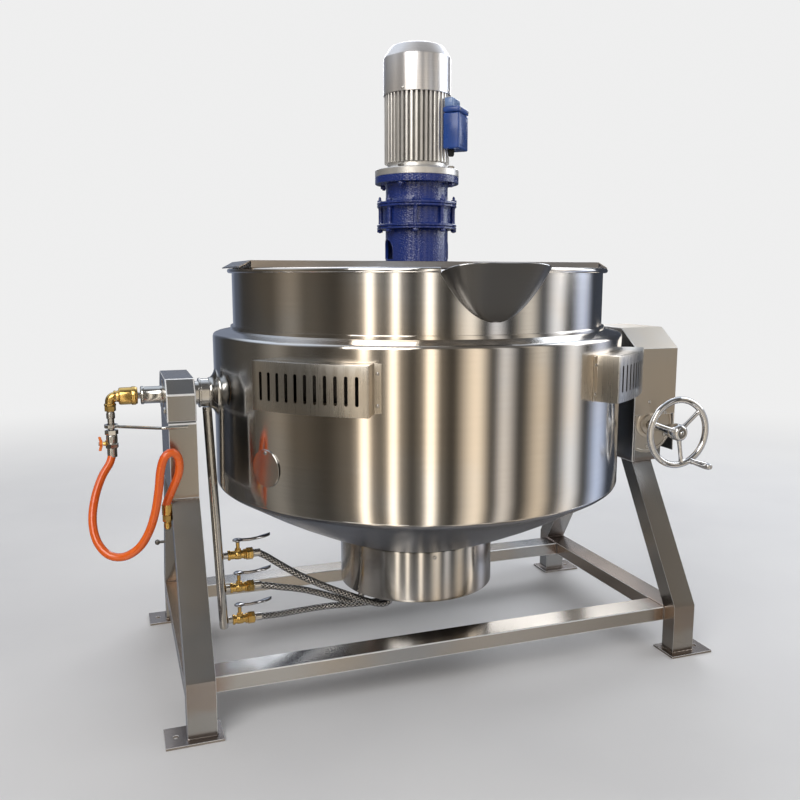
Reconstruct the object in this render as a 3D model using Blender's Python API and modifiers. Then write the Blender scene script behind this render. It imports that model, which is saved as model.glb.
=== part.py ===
"""Gas-fired jacketed tilting kettle with an overhead stirrer, modelled in metres, +Z up.

The pot's axis is X = Y = 0 and the floor is Z = 0 while the pieces are made. The last step
moves the whole kettle sideways, so that its origin is the centre of its footprint.
+X points to the worm gear and its handwheel, -Y to the pouring side.
"""
import math

import bmesh
import bpy
from mathutils import Matrix, Vector

# Clearances shared by all pieces
GAP = 0.0003              # between faces that touch on the real kettle
RUN = 0.0008              # round a turning shaft
OVERRUN = 0.012           # how far a cutter passes the faces it cuts
MERGE = 0.00005

# Stand
LEG_X = 0.652             # centre of each pair of legs
LEG_WIDE = 0.066
LEG_DEEP = 0.048
FOOT_Y = 0.351            # centre of each foot
BEND_Z = 0.138            # where the leg starts to lean
SHOULDER_Z = 0.503        # top of the legs
SHOULDER_Y = 0.151        # front face of the leg at its top
RAIL_BOTTOM = 0.085
RAIL_TALL = 0.039
CROSS_RAIL_Y = 0.294
CROSS_RAIL_DEEP = 0.072
PLATE_LONG = 0.130        # foot plates, along X
PLATE_DEEP = 0.086
PLATE_THICK = 0.006
PLATE_X = 0.670
ANCHOR_HOLE_R = 0.007
ANCHOR_HOLE_X = 0.710

# Tilt axis, along X at Y = 0
TILT_Z = 0.742
TRUNNION_R = 0.030
BUSH_WALL = 0.006

# Left side: column, bearing housing and hollow trunnion
COLUMN_HALF_Y = 0.150
HOUSING_BOTTOM = 0.690
HOUSING_TOP = 0.792
HOUSING_WIDE = 0.070
HOUSING_HALF_Y = 0.135
HOUSING_CHAMFER = 0.035
COLLAR_R = 0.037
COLLAR_END_X = 0.599
FLARE_R = 0.060
FLARE_LONG = 0.010
SLEEVE_R = 0.0225
SLEEVE_END_X = 0.747
SLEEVE_RING_R = 0.0255
SLEEVE_RING_LONG = 0.008
GAS_BORE_R = 0.009

# Right side: bearing plate, gear head, cover and worm drive
BEARING_PLATE_THICK = 0.008
COVER_HALF_Y = 0.166
COVER_SHEET = 0.002
COVER_OUTER_X = 0.7495
COVER_TOP = 0.889
COVER_SHOULDER = 0.833
COVER_TOP_HALF_Y = 0.088
COVER_FRONT_BOTTOM = 0.640
COVER_SIDE_BOTTOM = 0.530
BOSS_R = 0.056
BOSS_LONG = 0.020
HEAD_WALL = 0.008
HEAD_HALF_Y = 0.153
HEAD_OUTER_X = 0.715
HEAD_WALL_TOP = 0.700
GEAR_X = 0.660            # middle plane of the worm wheel and axis of the worm
WHEEL_TEETH = 40
WHEEL_PITCH_R = 0.100
WHEEL_FACE = 0.024
WHEEL_HUB_R = 0.045
WHEEL_HUB_LONG = 0.036
WORM_PITCH_R = 0.030
TOOTH_REACH = 0.005       # of a tooth beyond its pitch line
WORM_ROOT = 0.0055        # depth of the worm's groove under its pitch line
WHEEL_ROOT = 0.0065
TOOTH_THICK = 0.0055      # at the pitch line
TOOTH_LEAN = 0.0019       # a tooth's half width changes by this over its reach
WORM_TURNS = 5
WORM_SHAFT_R = 0.012
WORM_SHAFT_REAR_Y = 0.1625
FLANGE_R = 0.085          # round worm bearing in front
FLANGE_THICK = 0.008
REAR_BOSS_R = 0.040
SPIGOT_R = 0.030
SPIGOT_LONG = 0.014

# Handwheel
HANDWHEEL_Y = -0.300
HANDWHEEL_R = 0.091
HANDWHEEL_RIM_R = 0.009
HANDWHEEL_HUB_R = 0.023
HANDWHEEL_HUB_LONG = 0.034
SPOKE_R = 0.006
SPOKE_ANGLES = (40.0, 160.0, 280.0)     # degrees from +X towards +Z
GRIP_ANGLE = -64.0
GRIP_R = 0.0115
GRIP_LONG = 0.078
GRIP_PIN_R = 0.004
GRIP_PIN_HEAD = 0.003

# Pot, jacket and casing, all turned about Z
POT_R = 0.500
POT_WALL = 0.003
POT_KNUCKLE_Z = 0.660     # where the straight wall turns into the dished bottom
POT_DISH = 0.260
RIM_Z = 1.052
RIM_BEAD_R = 0.012
RIM_BEAD_HALF = 0.006
JACKET_R = 0.530
JACKET_WALL = 0.004
JACKET_TOP = 0.860
JACKET_KNUCKLE_Z = 0.620
JACKET_DISH = 0.250
CASING_R = 0.554
CASING_SHEET = 0.002
CASING_TOP = 0.890
CASING_BOTTOM = 0.495
LEDGE_Z = 0.910           # top of the bead where the casing meets the pot
LEDGE_R = 0.507
LEDGE_BEAD_TALL = 0.010
CONE_BULGE = 0.012
BURNER_R = 0.216
BURNER_TOP = 0.318
BURNER_BOTTOM = 0.181
COLLAR_TUCK = 0.018       # depth of the casing's edge inside the burner housing

# Burners
BURNER_RING_RS = (0.070, 0.125, 0.175)
BURNER_TUBE_R = 0.010
BURNER_Z = 0.262
BURNER_BAR_WIDE = 0.024
BURNER_BAR_TALL = 0.006
INLET_ANGLES = (199.0, 217.0, 190.0)    # degrees from +X towards +Y, inner ring first
INLET_R = 0.009
INLET_END_Z = 0.172

# Pouring spout
SPOUT_APEX_Z = 0.938
SPOUT_HALF_WIDE = 0.125
SPOUT_CORNER_Z = 1.045
SPOUT_LIP_Y = 0.565
SPOUT_LIP_Z = 1.066
SPOUT_SHEET = 0.002
SPOUT_SQUARENESS = 3.2    # exponent of the rounded section
MOUTH_INSET = 0.006

# Bridge across the pot
BRIDGE_TOP = 1.0765
BRIDGE_SHEET = 0.0025
BRIDGE_HALF_X = 0.480
BRIDGE_HALF_Y = 0.155
BRIDGE_TAB_X = 0.509
BRIDGE_BORE_R = 0.028

# Flue vent boxes on the casing
VENT_NEAR = 30.0          # degrees from -Y (or +Y) towards the side
VENT_FAR = 57.0
VENT_FLANGE = 1.8         # degrees of casing under each screwed edge
VENT_R = 0.6085
VENT_BOTTOM = 0.745
VENT_TOP = 0.853
VENT_SHEET = 0.0015
VENT_SLOTS = 11
VENT_SLOT_WIDE = 0.011
VENT_SLOT_BOTTOM = 0.766
VENT_SLOT_TOP = 0.832
SCREW_HEAD_R = 0.0055
SCREW_HEAD_TALL = 0.003
SCREW_HEIGHT_SHARES = (0.16, 0.80)

# Lighting port with its swinging cover
PORT_AZIMUTH = 59.5       # degrees from -Y towards -X
PORT_Z = 0.595
PORT_R = 0.045
PORT_HOLE_R = 0.034
PORT_SHEET = 0.002
PORT_PIVOT_Z = 0.632
PORT_PIVOT_HOLE_R = 0.003
PORT_PIVOT_R = 0.0025
HOUSING_SCREW_AZIMUTH = -7.0            # degrees from -Y, on the burner housing
HOUSING_SCREW_Z = 0.304

# Gas line
UNION_R = 0.0235
UNION_END_X = 0.799
RISER_X = 0.814
RISER_R = 0.011
RISER_BEND = 0.014
RISER_BOTTOM = 0.6583
CLAMP_Z = 0.668
CLAMP_R = 0.0165
CLAMP_TALL = 0.009
ROD_R = 0.004
ROD_END_X = 0.640
ROD_END_Z = 0.682
COCK_BOTTOM = 0.612
COCK_R = 0.0135
COCK_NUT_R = 0.0165
COCK_NUT_TALL = 0.012
COCK_STEM_Z = 0.624
COCK_STEM_R = 0.006
COCK_STEM_END_X = 0.836
BUTTERFLY_HALF = 0.018
BUTTERFLY_TALL = 0.013
BUTTERFLY_THICK = 0.008
BUTTERFLY_HUB_R = 0.009
SUPPLY_Y = -0.155
SUPPLY_R = 0.0115
SUPPLY_BOTTOM = 0.435
SUPPLY_TOP = 0.470
SUPPLY_NUT_TALL = 0.016

# Gas manifold, valves and levers, riding with the kettle
MANIFOLD_R = 0.012
MANIFOLD_TOP_X = 0.578
MANIFOLD_BOTTOM_X = 0.553
MANIFOLD_BOTTOM_Z = 0.096
VALVE_ZS = (0.298, 0.206, 0.116)
VALVE_END_X = 0.470       # where each burner hose starts
VALVE_STEM_X = 0.510
VALVE_R = 0.014
VALVE_NUT_R = 0.018
VALVE_NUT_LONG = 0.016
VALVE_STEM_R = 0.005
VALVE_STEM_TALL = 0.034   # above the valve's axis
LEVER_HUB_R = 0.014
LEVER_HUB_TALL = 0.010
LEVER_LONG = 0.084
LEVER_R = 0.0045
LEVER_TIP_R = 0.008
LEVER_RISE = 0.006

# Stirrer drive on the bridge
LANTERN_R = 0.085
LANTERN_WALL = 0.007
LANTERN_TOP = 1.163
LANTERN_WINDOW_WIDE = 0.060
LANTERN_WINDOW_TALL = 0.052
REDUCER_RING_R = 0.108
REDUCER_BODY_R = 0.093
REDUCER_RING_TALL = 0.013
REDUCER_TOP = 1.235
REDUCER_NECK_R = 0.084
NECK_TOP = 1.283
REDUCER_BOLTS = 8
BOLT_SIDES = 6
BOLT_R = 0.004
BOLT_HEAD_R = 0.0075
BOLT_HEAD_TALL = 0.006
BOLT_INSET = 0.0075       # of a bolt's axis from the ring's edge
BOLT_END = 0.012          # of a bolt above the upper ring
MOTOR_FLANGE_R = 0.113
MOTOR_FLANGE_TOP = 1.320
END_BELL_R = 0.080
END_BELL_TOP = 1.336
MOTOR_CORE_R = 0.078
MOTOR_R = 0.0875
MOTOR_TOP = 1.525
MOTOR_FINS = 28
FIN_THICK = 0.004
FAN_COVER_R = 0.090
FAN_COVER_SHEET = 0.0015
FAN_COVER_BOTTOM = 1.512
FAN_COVER_SHOULDER = 1.606
FAN_COVER_TOP = 1.646
TERMINAL_AZIMUTH = 48.0   # degrees from -Y towards +X
TERMINAL_OUT = 0.132
TERMINAL_WIDE = 0.090
TERMINAL_BOTTOM = 1.377
TERMINAL_TOP = 1.498
ROTOR_R = 0.045
ROTOR_BOTTOM = 1.352
ROTOR_TOP = 1.500
ROTOR_SHAFT_R = 0.012
FAN_R = 0.076
FAN_Z = 1.548
FAN_BLADES = 6
FAN_BLADE_THICK = 0.003
FAN_BLADE_TALL = 0.026
FAN_HUB_R = 0.022
ROTOR_SHAFT_BOTTOM = 1.212

# Stirrer in the pot
STIRRER_SHAFT_R = 0.020
STIRRER_SHAFT_TOP = 1.200
STIRRER_BOTTOM = 0.446
ANCHOR_CLEAR = 0.027      # between the anchor's edge and the pot
ANCHOR_BAR = 0.034
ANCHOR_THICK = 0.010
ANCHOR_TOP = 0.860
ANCHOR_HUB_R = 0.032
ANCHOR_HUB_TOP = 0.540
SCRAPER_CLEAR = 0.0045
SCRAPER_THICK = 0.009
SCRAPER_LONG = 0.085
SCRAPER_ARM_SHARES = (0.25, 0.78)       # of the arm's straight height
SCRAPER_DISH_SHARE = 0.55               # of the room between anchor and dish
SCRAPER_DISH_ANGLE = 38.0               # degrees along the dish

# Cords: the routes' points are chosen by hand and read as one smooth curve
GAS_HOSE_R = 0.010
GAS_HOSE_ROUTE = (
    (-0.814, 0.000, 0.6115),
    (-0.814, 0.000, 0.601),
    (-0.822, -0.008, 0.575),
    (-0.842, -0.024, 0.545),
    (-0.860, -0.050, 0.500),
    (-0.868, -0.076, 0.450),
    (-0.860, -0.100, 0.405),
    (-0.835, -0.122, 0.375),
    (-0.800, -0.140, 0.372),
    (-0.766, -0.157, 0.395),
    (-0.742, -0.172, 0.435),
    (-0.726, -0.184, 0.485),
    (-0.716, -0.192, 0.540),
    (-0.710, -0.200, 0.590),
    (-0.700, -0.204, 0.622),
    (-0.682, -0.200, 0.632),
    (-0.668, -0.192, 0.614),
    (-0.668, -0.184, 0.578),
    (-0.684, -0.172, 0.535),
    (-0.6968, -0.157, 0.500),
    (-0.6968, -0.155, 0.482),
    (-0.6968, -0.155, 0.4705),
)
BRAID_R = 0.009
BURNER_HOSE_ROUTES = (
    (
        (-0.4696, 0.000, 0.298), (-0.458, 0.000, 0.298), (-0.435, -0.003, 0.286),
        (-0.400, -0.012, 0.262), (-0.345, -0.030, 0.228), (-0.280, -0.050, 0.196),
        (-0.215, -0.066, 0.168), (-0.165, -0.074, 0.147), (-0.130, -0.0765, 0.137),
        (-0.108, -0.0765, 0.142), (-0.0998, -0.0752, 0.157), (-0.0998, -0.0752, 0.1715),
    ),
    (
        (-0.4696, 0.000, 0.206), (-0.458, 0.000, 0.206), (-0.435, -0.004, 0.203),
        (-0.400, -0.012, 0.197), (-0.345, -0.018, 0.186), (-0.290, -0.022, 0.168),
        (-0.240, -0.027, 0.149), (-0.205, -0.030, 0.137), (-0.182, -0.0306, 0.142),
        (-0.1723, -0.0304, 0.157), (-0.1723, -0.0304, 0.1715),
    ),
    (
        (-0.4696, 0.000, 0.116), (-0.458, 0.000, 0.116), (-0.435, 0.002, 0.114),
        (-0.395, 0.006, 0.112), (-0.335, 0.008, 0.114), (-0.275, 0.004, 0.117),
        (-0.215, -0.006, 0.119), (-0.155, -0.015, 0.120), (-0.105, -0.0205, 0.124),
        (-0.077, -0.0226, 0.137), (-0.0662, -0.0228, 0.156), (-0.0662, -0.0228, 0.1715),
    ),
)
CORD_STEP_DIAMETERS = 1.5

# How finely round shapes are divided
STEPS_POT = 48
STEPS_TUBE = 24
STEPS_COVER = 32
STEPS_SMALL = 16
DISH_STEPS = 5
STEPS_ARC = 4
STEPS_WORM = 16
STEPS_TURN = 12

# Colours, roughness and metallic value of each finish
STEEL = ("brushed_steel", (0.62, 0.60, 0.57, 1.0), 0.32, 1.0)
DARK_STEEL = ("dark_steel", (0.25, 0.24, 0.23, 1.0), 0.45, 1.0)
CHROME = ("chrome", (0.80, 0.80, 0.80, 1.0), 0.10, 1.0)
BRASS = ("brass", (0.72, 0.52, 0.22, 1.0), 0.25, 1.0)
BRONZE = ("bronze", (0.50, 0.33, 0.16, 1.0), 0.35, 1.0)
BLUE = ("blue_paint", (0.02, 0.06, 0.20, 1.0), 0.35, 0.0)
ALUMINIUM = ("silver_paint", (0.55, 0.56, 0.58, 1.0), 0.40, 0.6)
ORANGE = ("orange_rubber", (0.85, 0.22, 0.03, 1.0), 0.45, 0.0)
BRAID = ("steel_braid", (0.35, 0.34, 0.33, 1.0), 0.40, 0.9)
CAST_IRON = ("cast_iron", (0.12, 0.12, 0.12, 1.0), 0.60, 0.8)

# Places that follow from the sizes above
LEG_INNER_X = LEG_X - LEG_WIDE / 2
LEG_OUTER_X = LEG_X + LEG_WIDE / 2
FOOT_FRONT_Y = FOOT_Y + LEG_DEEP / 2
RAIL_TOP = RAIL_BOTTOM + RAIL_TALL
RIM_TOP = RIM_Z + RIM_BEAD_HALF
POT_IN = POT_R - POT_WALL
WORM_Z = TILT_Z - WHEEL_PITCH_R - WORM_PITCH_R
THREAD_PITCH = 2 * math.pi * WHEEL_PITCH_R / WHEEL_TEETH
BUSH_R = TRUNNION_R + RUN + BUSH_WALL
HOUSING_INNER_X = LEG_X - HOUSING_WIDE / 2
HOUSING_OUTER_X = LEG_X + HOUSING_WIDE / 2
PLATE_INNER_X = LEG_INNER_X - GAP - BEARING_PLATE_THICK
PLATE_HALF_Y = COVER_HALF_Y - COVER_SHEET - GAP
LEG_SLOPE = (FOOT_FRONT_Y - SHOULDER_Y) / (SHOULDER_Z - BEND_Z)
LEG_LEAN = math.atan(LEG_SLOPE)
DECK = BRIDGE_TOP + GAP

# Directions in which an outline or a turned profile is laid
UPRIGHT = Matrix.Identity(4)
ALONG_X = Matrix.Rotation(math.radians(90), 4, "Y")
ALONG_MINUS_X = Matrix.Rotation(math.radians(-90), 4, "Y")
ALONG_MINUS_Y = Matrix.Rotation(math.radians(90), 4, "X")
OUTLINE_YZ = Matrix(((0, 0, 1, 0), (1, 0, 0, 0), (0, 1, 0, 0), (0, 0, 0, 1)))
OUTLINE_XZ = Matrix(((1, 0, 0, 0), (0, 0, -1, 0), (0, 1, 0, 0), (0, 0, 0, 1)))

COLLECTIONS = {}
CARRIERS = {}


def at(x=0.0, y=0.0, z=0.0):
    """A plain shift."""
    return Matrix.Translation((x, y, z))


def polar(radius, degrees, z=0.0):
    """Point at an angle from +X towards +Y."""
    angle = math.radians(degrees)
    return Vector((radius * math.cos(angle), radius * math.sin(angle), z))


def from_front(radius, degrees, z=0.0):
    """Point at an angle from -Y towards +X."""
    angle = math.radians(degrees)
    return Vector((radius * math.sin(angle), -radius * math.cos(angle), z))


def carrier(name, place, parent=None):
    """An empty on a joint's axis that carries the pieces of one moving body."""
    empty = bpy.data.objects.new(name + "_axis", None)
    COLLECTIONS["parts"].objects.link(empty)
    holder = CARRIERS.get(parent)
    empty.location = Vector(place)
    if holder is not None:
        empty.parent = holder[0]
        empty.location = Vector(place) - holder[1]
    CARRIERS[name] = (empty, Vector(place))


def paint(data, finish):
    """Give a mesh or curve its material, made once for each finish."""
    name, colour, roughness, metallic = finish
    mat = bpy.data.materials.get(name)
    if mat is None:
        mat = bpy.data.materials.new(name)
        mat.use_nodes = True
        shader = mat.node_tree.nodes["Principled BSDF"]
        shader.inputs["Base Color"].default_value = colour
        shader.inputs["Roughness"].default_value = roughness
        shader.inputs["Metallic"].default_value = metallic
        mat.diffuse_color = colour
    data.materials.append(mat)


def put(name, data, finish, body, placing=UPRIGHT):
    """Link a piece of one body; a piece without a finish is a cutter or a guide."""
    obj = bpy.data.objects.new(name, data)
    if finish is None:
        COLLECTIONS["cutters"].objects.link(obj)
        obj.display_type = "WIRE"
        obj.hide_render = True
    else:
        COLLECTIONS["parts"].objects.link(obj)
        paint(data, finish)
    empty, place = CARRIERS[body]
    obj.parent = empty
    obj.matrix_parent_inverse = Matrix.Translation(-place)
    obj.matrix_basis = placing
    return obj


def mesh_of(name, bm):
    mesh = bpy.data.meshes.new(name)
    bm.to_mesh(mesh)
    bm.free()
    return mesh


def box(name, low, high, finish, body, placing=UPRIGHT):
    """A box between two corners, from the cube primitive."""
    low, high = Vector(low), Vector(high)
    bm = bmesh.new()
    size = Matrix.Diagonal((*(high - low), 1))
    bmesh.ops.create_cube(bm, size=1, matrix=Matrix.Translation((low + high) / 2) @ size)
    return put(name, mesh_of(name, bm), finish, body, placing)


def rod(name, start, end, radius, finish, body, steps=STEPS_SMALL):
    """A round bar between two points, from the cylinder primitive."""
    start, end = Vector(start), Vector(end)
    bm = bmesh.new()
    bmesh.ops.create_cone(
        bm, cap_ends=True, segments=steps, radius1=radius, radius2=radius,
        depth=(end - start).length,
    )
    turn = (end - start).to_track_quat("Z", "Y").to_matrix().to_4x4()
    mesh = mesh_of(name, bm)
    mesh.shade_smooth()
    mesh.set_sharp_from_angle(angle=math.radians(40))
    return put(name, mesh, finish, body, Matrix.Translation((start + end) / 2) @ turn)


def turned(name, profile, finish, body, placing=UPRIGHT, steps=STEPS_TUBE):
    """A profile of (radius, height) points, down its outer side, turned about local Z."""
    mesh = bpy.data.meshes.new(name)
    on_axis = profile[0][0] == 0 and profile[-1][0] == 0
    count = len(profile)
    edges = [(i, i + 1) for i in range(count - 1)]
    if not on_axis:
        edges.append((count - 1, 0))
    mesh.from_pydata([(radius, 0, height) for radius, height in profile], edges, [])
    obj = put(name, mesh, finish, body, placing)
    screw = obj.modifiers.new("Turn", "SCREW")
    screw.axis = "Z"
    screw.angle = 2 * math.pi
    screw.steps = steps
    screw.render_steps = steps
    screw.use_merge_vertices = True
    screw.merge_threshold = MERGE
    return obj


def ring(name, outer, inner, low, high, finish, body, placing=UPRIGHT, steps=STEPS_TUBE):
    """A plain bush or washer."""
    profile = ((outer, high), (outer, low), (inner, low), (inner, high))
    return turned(name, profile, finish, body, placing, steps)


def disc(name, radius, low, high, finish, body, placing=UPRIGHT, steps=STEPS_TUBE):
    """A plain round disc or stub."""
    profile = ((0, high), (radius, high), (radius, low), (0, low))
    return turned(name, profile, finish, body, placing, steps)


def tube(name, points, radius, finish, body, resolution=2, kind="POLY", closed=False):
    """A round tube along points, as a bevelled curve with filled caps."""
    curve = bpy.data.curves.new(name, "CURVE")
    curve.dimensions = "3D"
    curve.bevel_depth = radius
    curve.bevel_resolution = resolution
    curve.use_fill_caps = True
    spline = curve.splines.new(kind)
    spline.points.add(len(points) - 1)
    for target, point in zip(spline.points, points):
        target.co = (*point, 1)
    spline.use_cyclic_u = closed
    return put(name, curve, finish, body)


def as_mesh(obj):
    """Replace a curve object by a welded mesh, so that it can be cut or joined."""
    bpy.context.view_layer.update()
    evaluated = obj.evaluated_get(bpy.context.evaluated_depsgraph_get())
    mesh = bpy.data.meshes.new_from_object(evaluated)
    bm = bmesh.new()
    bm.from_mesh(mesh)
    bmesh.ops.remove_doubles(bm, verts=bm.verts, dist=MERGE)
    bm.to_mesh(mesh)
    bm.free()
    name = obj.name
    solid = bpy.data.objects.new(name, mesh)
    for group in obj.users_collection:
        group.objects.link(solid)
    solid.display_type = obj.display_type
    solid.hide_render = obj.hide_render
    solid.parent = obj.parent
    solid.matrix_parent_inverse = obj.matrix_parent_inverse
    solid.matrix_basis = obj.matrix_basis
    bpy.data.objects.remove(obj)
    solid.name = name
    return solid


def prism(name, outline, half_thick, finish, body, placing=UPRIGHT):
    """A flat outline of (u, v) points with a thickness, as a filled 2D curve."""
    curve = bpy.data.curves.new(name, "CURVE")
    curve.dimensions = "2D"
    curve.fill_mode = "BOTH"
    curve.extrude = half_thick
    spline = curve.splines.new("POLY")
    spline.points.add(len(outline) - 1)
    for target, point in zip(spline.points, outline):
        target.co = (point[0], point[1], 0, 1)
    spline.use_cyclic_u = True
    return as_mesh(put(name, curve, finish, body, placing))


def cut(obj, cutter):
    """Take a cutter's shape out of a piece."""
    boolean = obj.modifiers.new("Cut " + cutter.name, "BOOLEAN")
    boolean.operation = "DIFFERENCE"
    boolean.object = cutter


def join(obj, other):
    """Weld a guide's shape onto a piece."""
    boolean = obj.modifiers.new("Join " + other.name, "BOOLEAN")
    boolean.operation = "UNION"
    boolean.object = other


def joined_cutter(name, cutters):
    """Several cutters that don't touch, as one object."""
    bm = bmesh.new()
    first = cutters[0]
    back = first.matrix_basis.inverted()
    for piece in cutters:
        mesh = piece.data.copy()
        mesh.transform(back @ piece.matrix_basis)
        bm.from_mesh(mesh)
        bpy.data.meshes.remove(mesh)
    first.data = mesh_of(name, bm)
    for piece in cutters[1:]:
        bpy.data.objects.remove(piece)
    first.name = name
    return first


def skin(name, points, faces, thickness, side, finish, body, placing=UPRIGHT):
    """A sheet metal shell: an open surface with Solidify, to one side of it."""
    mesh = bpy.data.meshes.new(name)
    mesh.from_pydata(points, [], faces)
    obj = put(name, mesh, finish, body, placing)
    solidify = obj.modifiers.new("Sheet", "SOLIDIFY")
    solidify.thickness = thickness
    solidify.offset = side
    solidify.use_even_offset = True
    return obj


def strip(path, low, high):
    """Points and faces of a surface that rises from low to high over a path of (x, y) points."""
    points = [(x, y, low) for x, y in path] + [(x, y, high) for x, y in path]
    count = len(path)
    faces = [(i, i + 1, count + i + 1, count + i) for i in range(count - 1)]
    return points, faces


def smooth_route(route, step):
    """Points a step apart along a Catmull-Rom curve through a route."""
    places = [Vector(point) for point in route]
    places = [2 * places[0] - places[1]] + places + [2 * places[-1] - places[-2]]
    fine = []
    for i in range(1, len(places) - 2):
        before, start, end, after = places[i - 1:i + 3]
        pieces = max(1, round((end - start).length / step))
        for k in range(pieces):
            t = k / pieces
            fine.append(0.5 * (
                2 * start
                + (end - before) * t
                + (2 * before - 5 * start + 4 * end - after) * t ** 2
                + (3 * start - before - 3 * end + after) * t ** 3
            ))
    fine.append(places[-2])
    return fine


def cord(name, route, radius, finish, body):
    """A free hose along its route, one point for every few diameters."""
    points = smooth_route(route, CORD_STEP_DIAMETERS * 2 * radius)
    return tube(name, points, radius, finish, body)


def make_legs():
    """Four legs that lean in to the shoulder, each welded to a drilled foot plate."""
    bottom = PLATE_THICK / 2
    top = SHOULDER_Z - GAP
    foot_back = FOOT_FRONT_Y - LEG_DEEP
    shoulder_back = SHOULDER_Y - LEG_DEEP / math.cos(LEG_LEAN)
    inner_bend = SHOULDER_Z - (foot_back - shoulder_back) / LEG_SLOPE
    for side, x in (("left", -LEG_X), ("right", LEG_X)):
        for end, sign in (("front", -1), ("rear", 1)):
            outline = (
                (sign * FOOT_FRONT_Y, bottom),
                (sign * FOOT_FRONT_Y, BEND_Z),
                (sign * SHOULDER_Y, top),
                (sign * shoulder_back, top),
                (sign * foot_back, inner_bend),
                (sign * foot_back, bottom),
            )
            leg = prism(
                f"leg_{end}_{side}", outline, LEG_WIDE / 2, STEEL, "stand", at(x) @ OUTLINE_YZ
            )
            outward = math.copysign(1, x)
            plate_x, plate_y = outward * PLATE_X, sign * FOOT_Y
            low = (plate_x - PLATE_LONG / 2, plate_y - PLATE_DEEP / 2, 0)
            high = (plate_x + PLATE_LONG / 2, plate_y + PLATE_DEEP / 2, PLATE_THICK)
            join(leg, box("foot_plate", low, high, None, "stand"))
            hole = (outward * ANCHOR_HOLE_X, plate_y, -OVERRUN)
            over = (outward * ANCHOR_HOLE_X, plate_y, PLATE_THICK + OVERRUN)
            cut(leg, rod("anchor_hole", hole, over, ANCHOR_HOLE_R, None, "stand"))


def make_rails():
    """A rail between the feet on each side, and two flat rails across."""
    reach = FOOT_FRONT_Y - LEG_DEEP - GAP
    for side, sign in (("left", -1), ("right", 1)):
        x = sign * LEG_X
        low = (x - LEG_WIDE / 2, -reach, RAIL_BOTTOM)
        high = (x + LEG_WIDE / 2, reach, RAIL_TOP)
        box(f"rail_{side}", low, high, STEEL, "stand")
    for end, sign in (("front", -1), ("rear", 1)):
        y = sign * CROSS_RAIL_Y
        low = (GAP - LEG_INNER_X, y - CROSS_RAIL_DEEP / 2, RAIL_BOTTOM)
        high = (LEG_INNER_X - GAP, y + CROSS_RAIL_DEEP / 2, RAIL_TOP)
        box(f"rail_{end}", low, high, STEEL, "stand")


def make_left_bearing():
    """The column on the left legs and the bearing housing on top of it."""
    low = (-LEG_OUTER_X, -COLUMN_HALF_Y, SHOULDER_Z)
    high = (-LEG_INNER_X, COLUMN_HALF_Y, HOUSING_BOTTOM)
    box("left_column", low, high, STEEL, "stand")
    half, chamfer = HOUSING_HALF_Y, HOUSING_CHAMFER
    outline = (
        (-half, HOUSING_BOTTOM + GAP),
        (half, HOUSING_BOTTOM + GAP),
        (half, HOUSING_TOP - chamfer),
        (half - chamfer, HOUSING_TOP),
        (chamfer - half, HOUSING_TOP),
        (-half, HOUSING_TOP - chamfer),
    )
    housing = prism(
        "left_bearing_housing", outline, HOUSING_WIDE / 2, STEEL, "stand", at(-LEG_X) @ OUTLINE_YZ
    )
    start = (-HOUSING_OUTER_X - OVERRUN, 0, TILT_Z)
    end = (-HOUSING_INNER_X + OVERRUN, 0, TILT_Z)
    cut(housing, rod("housing_bore", start, end, BUSH_R + GAP, None, "stand", STEPS_TUBE))


def make_trunnion_bushes():
    """Bronze bushes in the left housing and in the right bearing plate."""
    bore = TRUNNION_R + RUN
    ring(
        "left_bush", BUSH_R, bore, HOUSING_INNER_X, HOUSING_OUTER_X, BRONZE, "stand",
        at(z=TILT_Z) @ ALONG_MINUS_X,
    )
    ring(
        "right_bush", BUSH_R, bore, PLATE_INNER_X, LEG_INNER_X - GAP + BOSS_LONG, BRONZE, "stand",
        at(z=TILT_Z) @ ALONG_X,
    )


def cover_corners(inset):
    """Shoulder height and half width of the top of the gear cover, inside it by an inset."""
    run, rise = COVER_HALF_Y - COVER_TOP_HALF_Y, COVER_TOP - COVER_SHOULDER
    length = math.hypot(run, rise)
    normal_y, normal_z = rise / length, run / length
    offset = normal_y * COVER_HALF_Y + normal_z * COVER_SHOULDER - inset
    shoulder = (offset - normal_y * (COVER_HALF_Y - inset)) / normal_z
    top_half = (offset - normal_z * (COVER_TOP - inset)) / normal_y
    return shoulder, top_half


def make_right_bearing():
    """The profiled plate that carries the right trunnion, with its boss."""
    inset = COVER_SHEET + GAP
    shoulder, top_half = cover_corners(inset)
    half, top = PLATE_HALF_Y, COVER_TOP - inset
    outline = (
        (-half, SHOULDER_Z), (half, SHOULDER_Z), (half, shoulder),
        (top_half, top), (-top_half, top), (-half, shoulder),
    )
    middle = PLATE_INNER_X + BEARING_PLATE_THICK / 2
    plate = prism(
        "right_bearing_plate", outline, BEARING_PLATE_THICK / 2, STEEL, "stand",
        at(middle) @ OUTLINE_YZ,
    )
    boss_end = LEG_INNER_X - GAP + BOSS_LONG
    start, end = (middle, 0, TILT_Z), (boss_end, 0, TILT_Z)
    join(plate, rod("plate_boss", start, end, BOSS_R, None, "stand", STEPS_TUBE))
    start = (PLATE_INNER_X - OVERRUN, 0, TILT_Z)
    end = (boss_end + OVERRUN, 0, TILT_Z)
    cut(plate, rod("plate_bore", start, end, BUSH_R + GAP, None, "stand", STEPS_TUBE))


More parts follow.
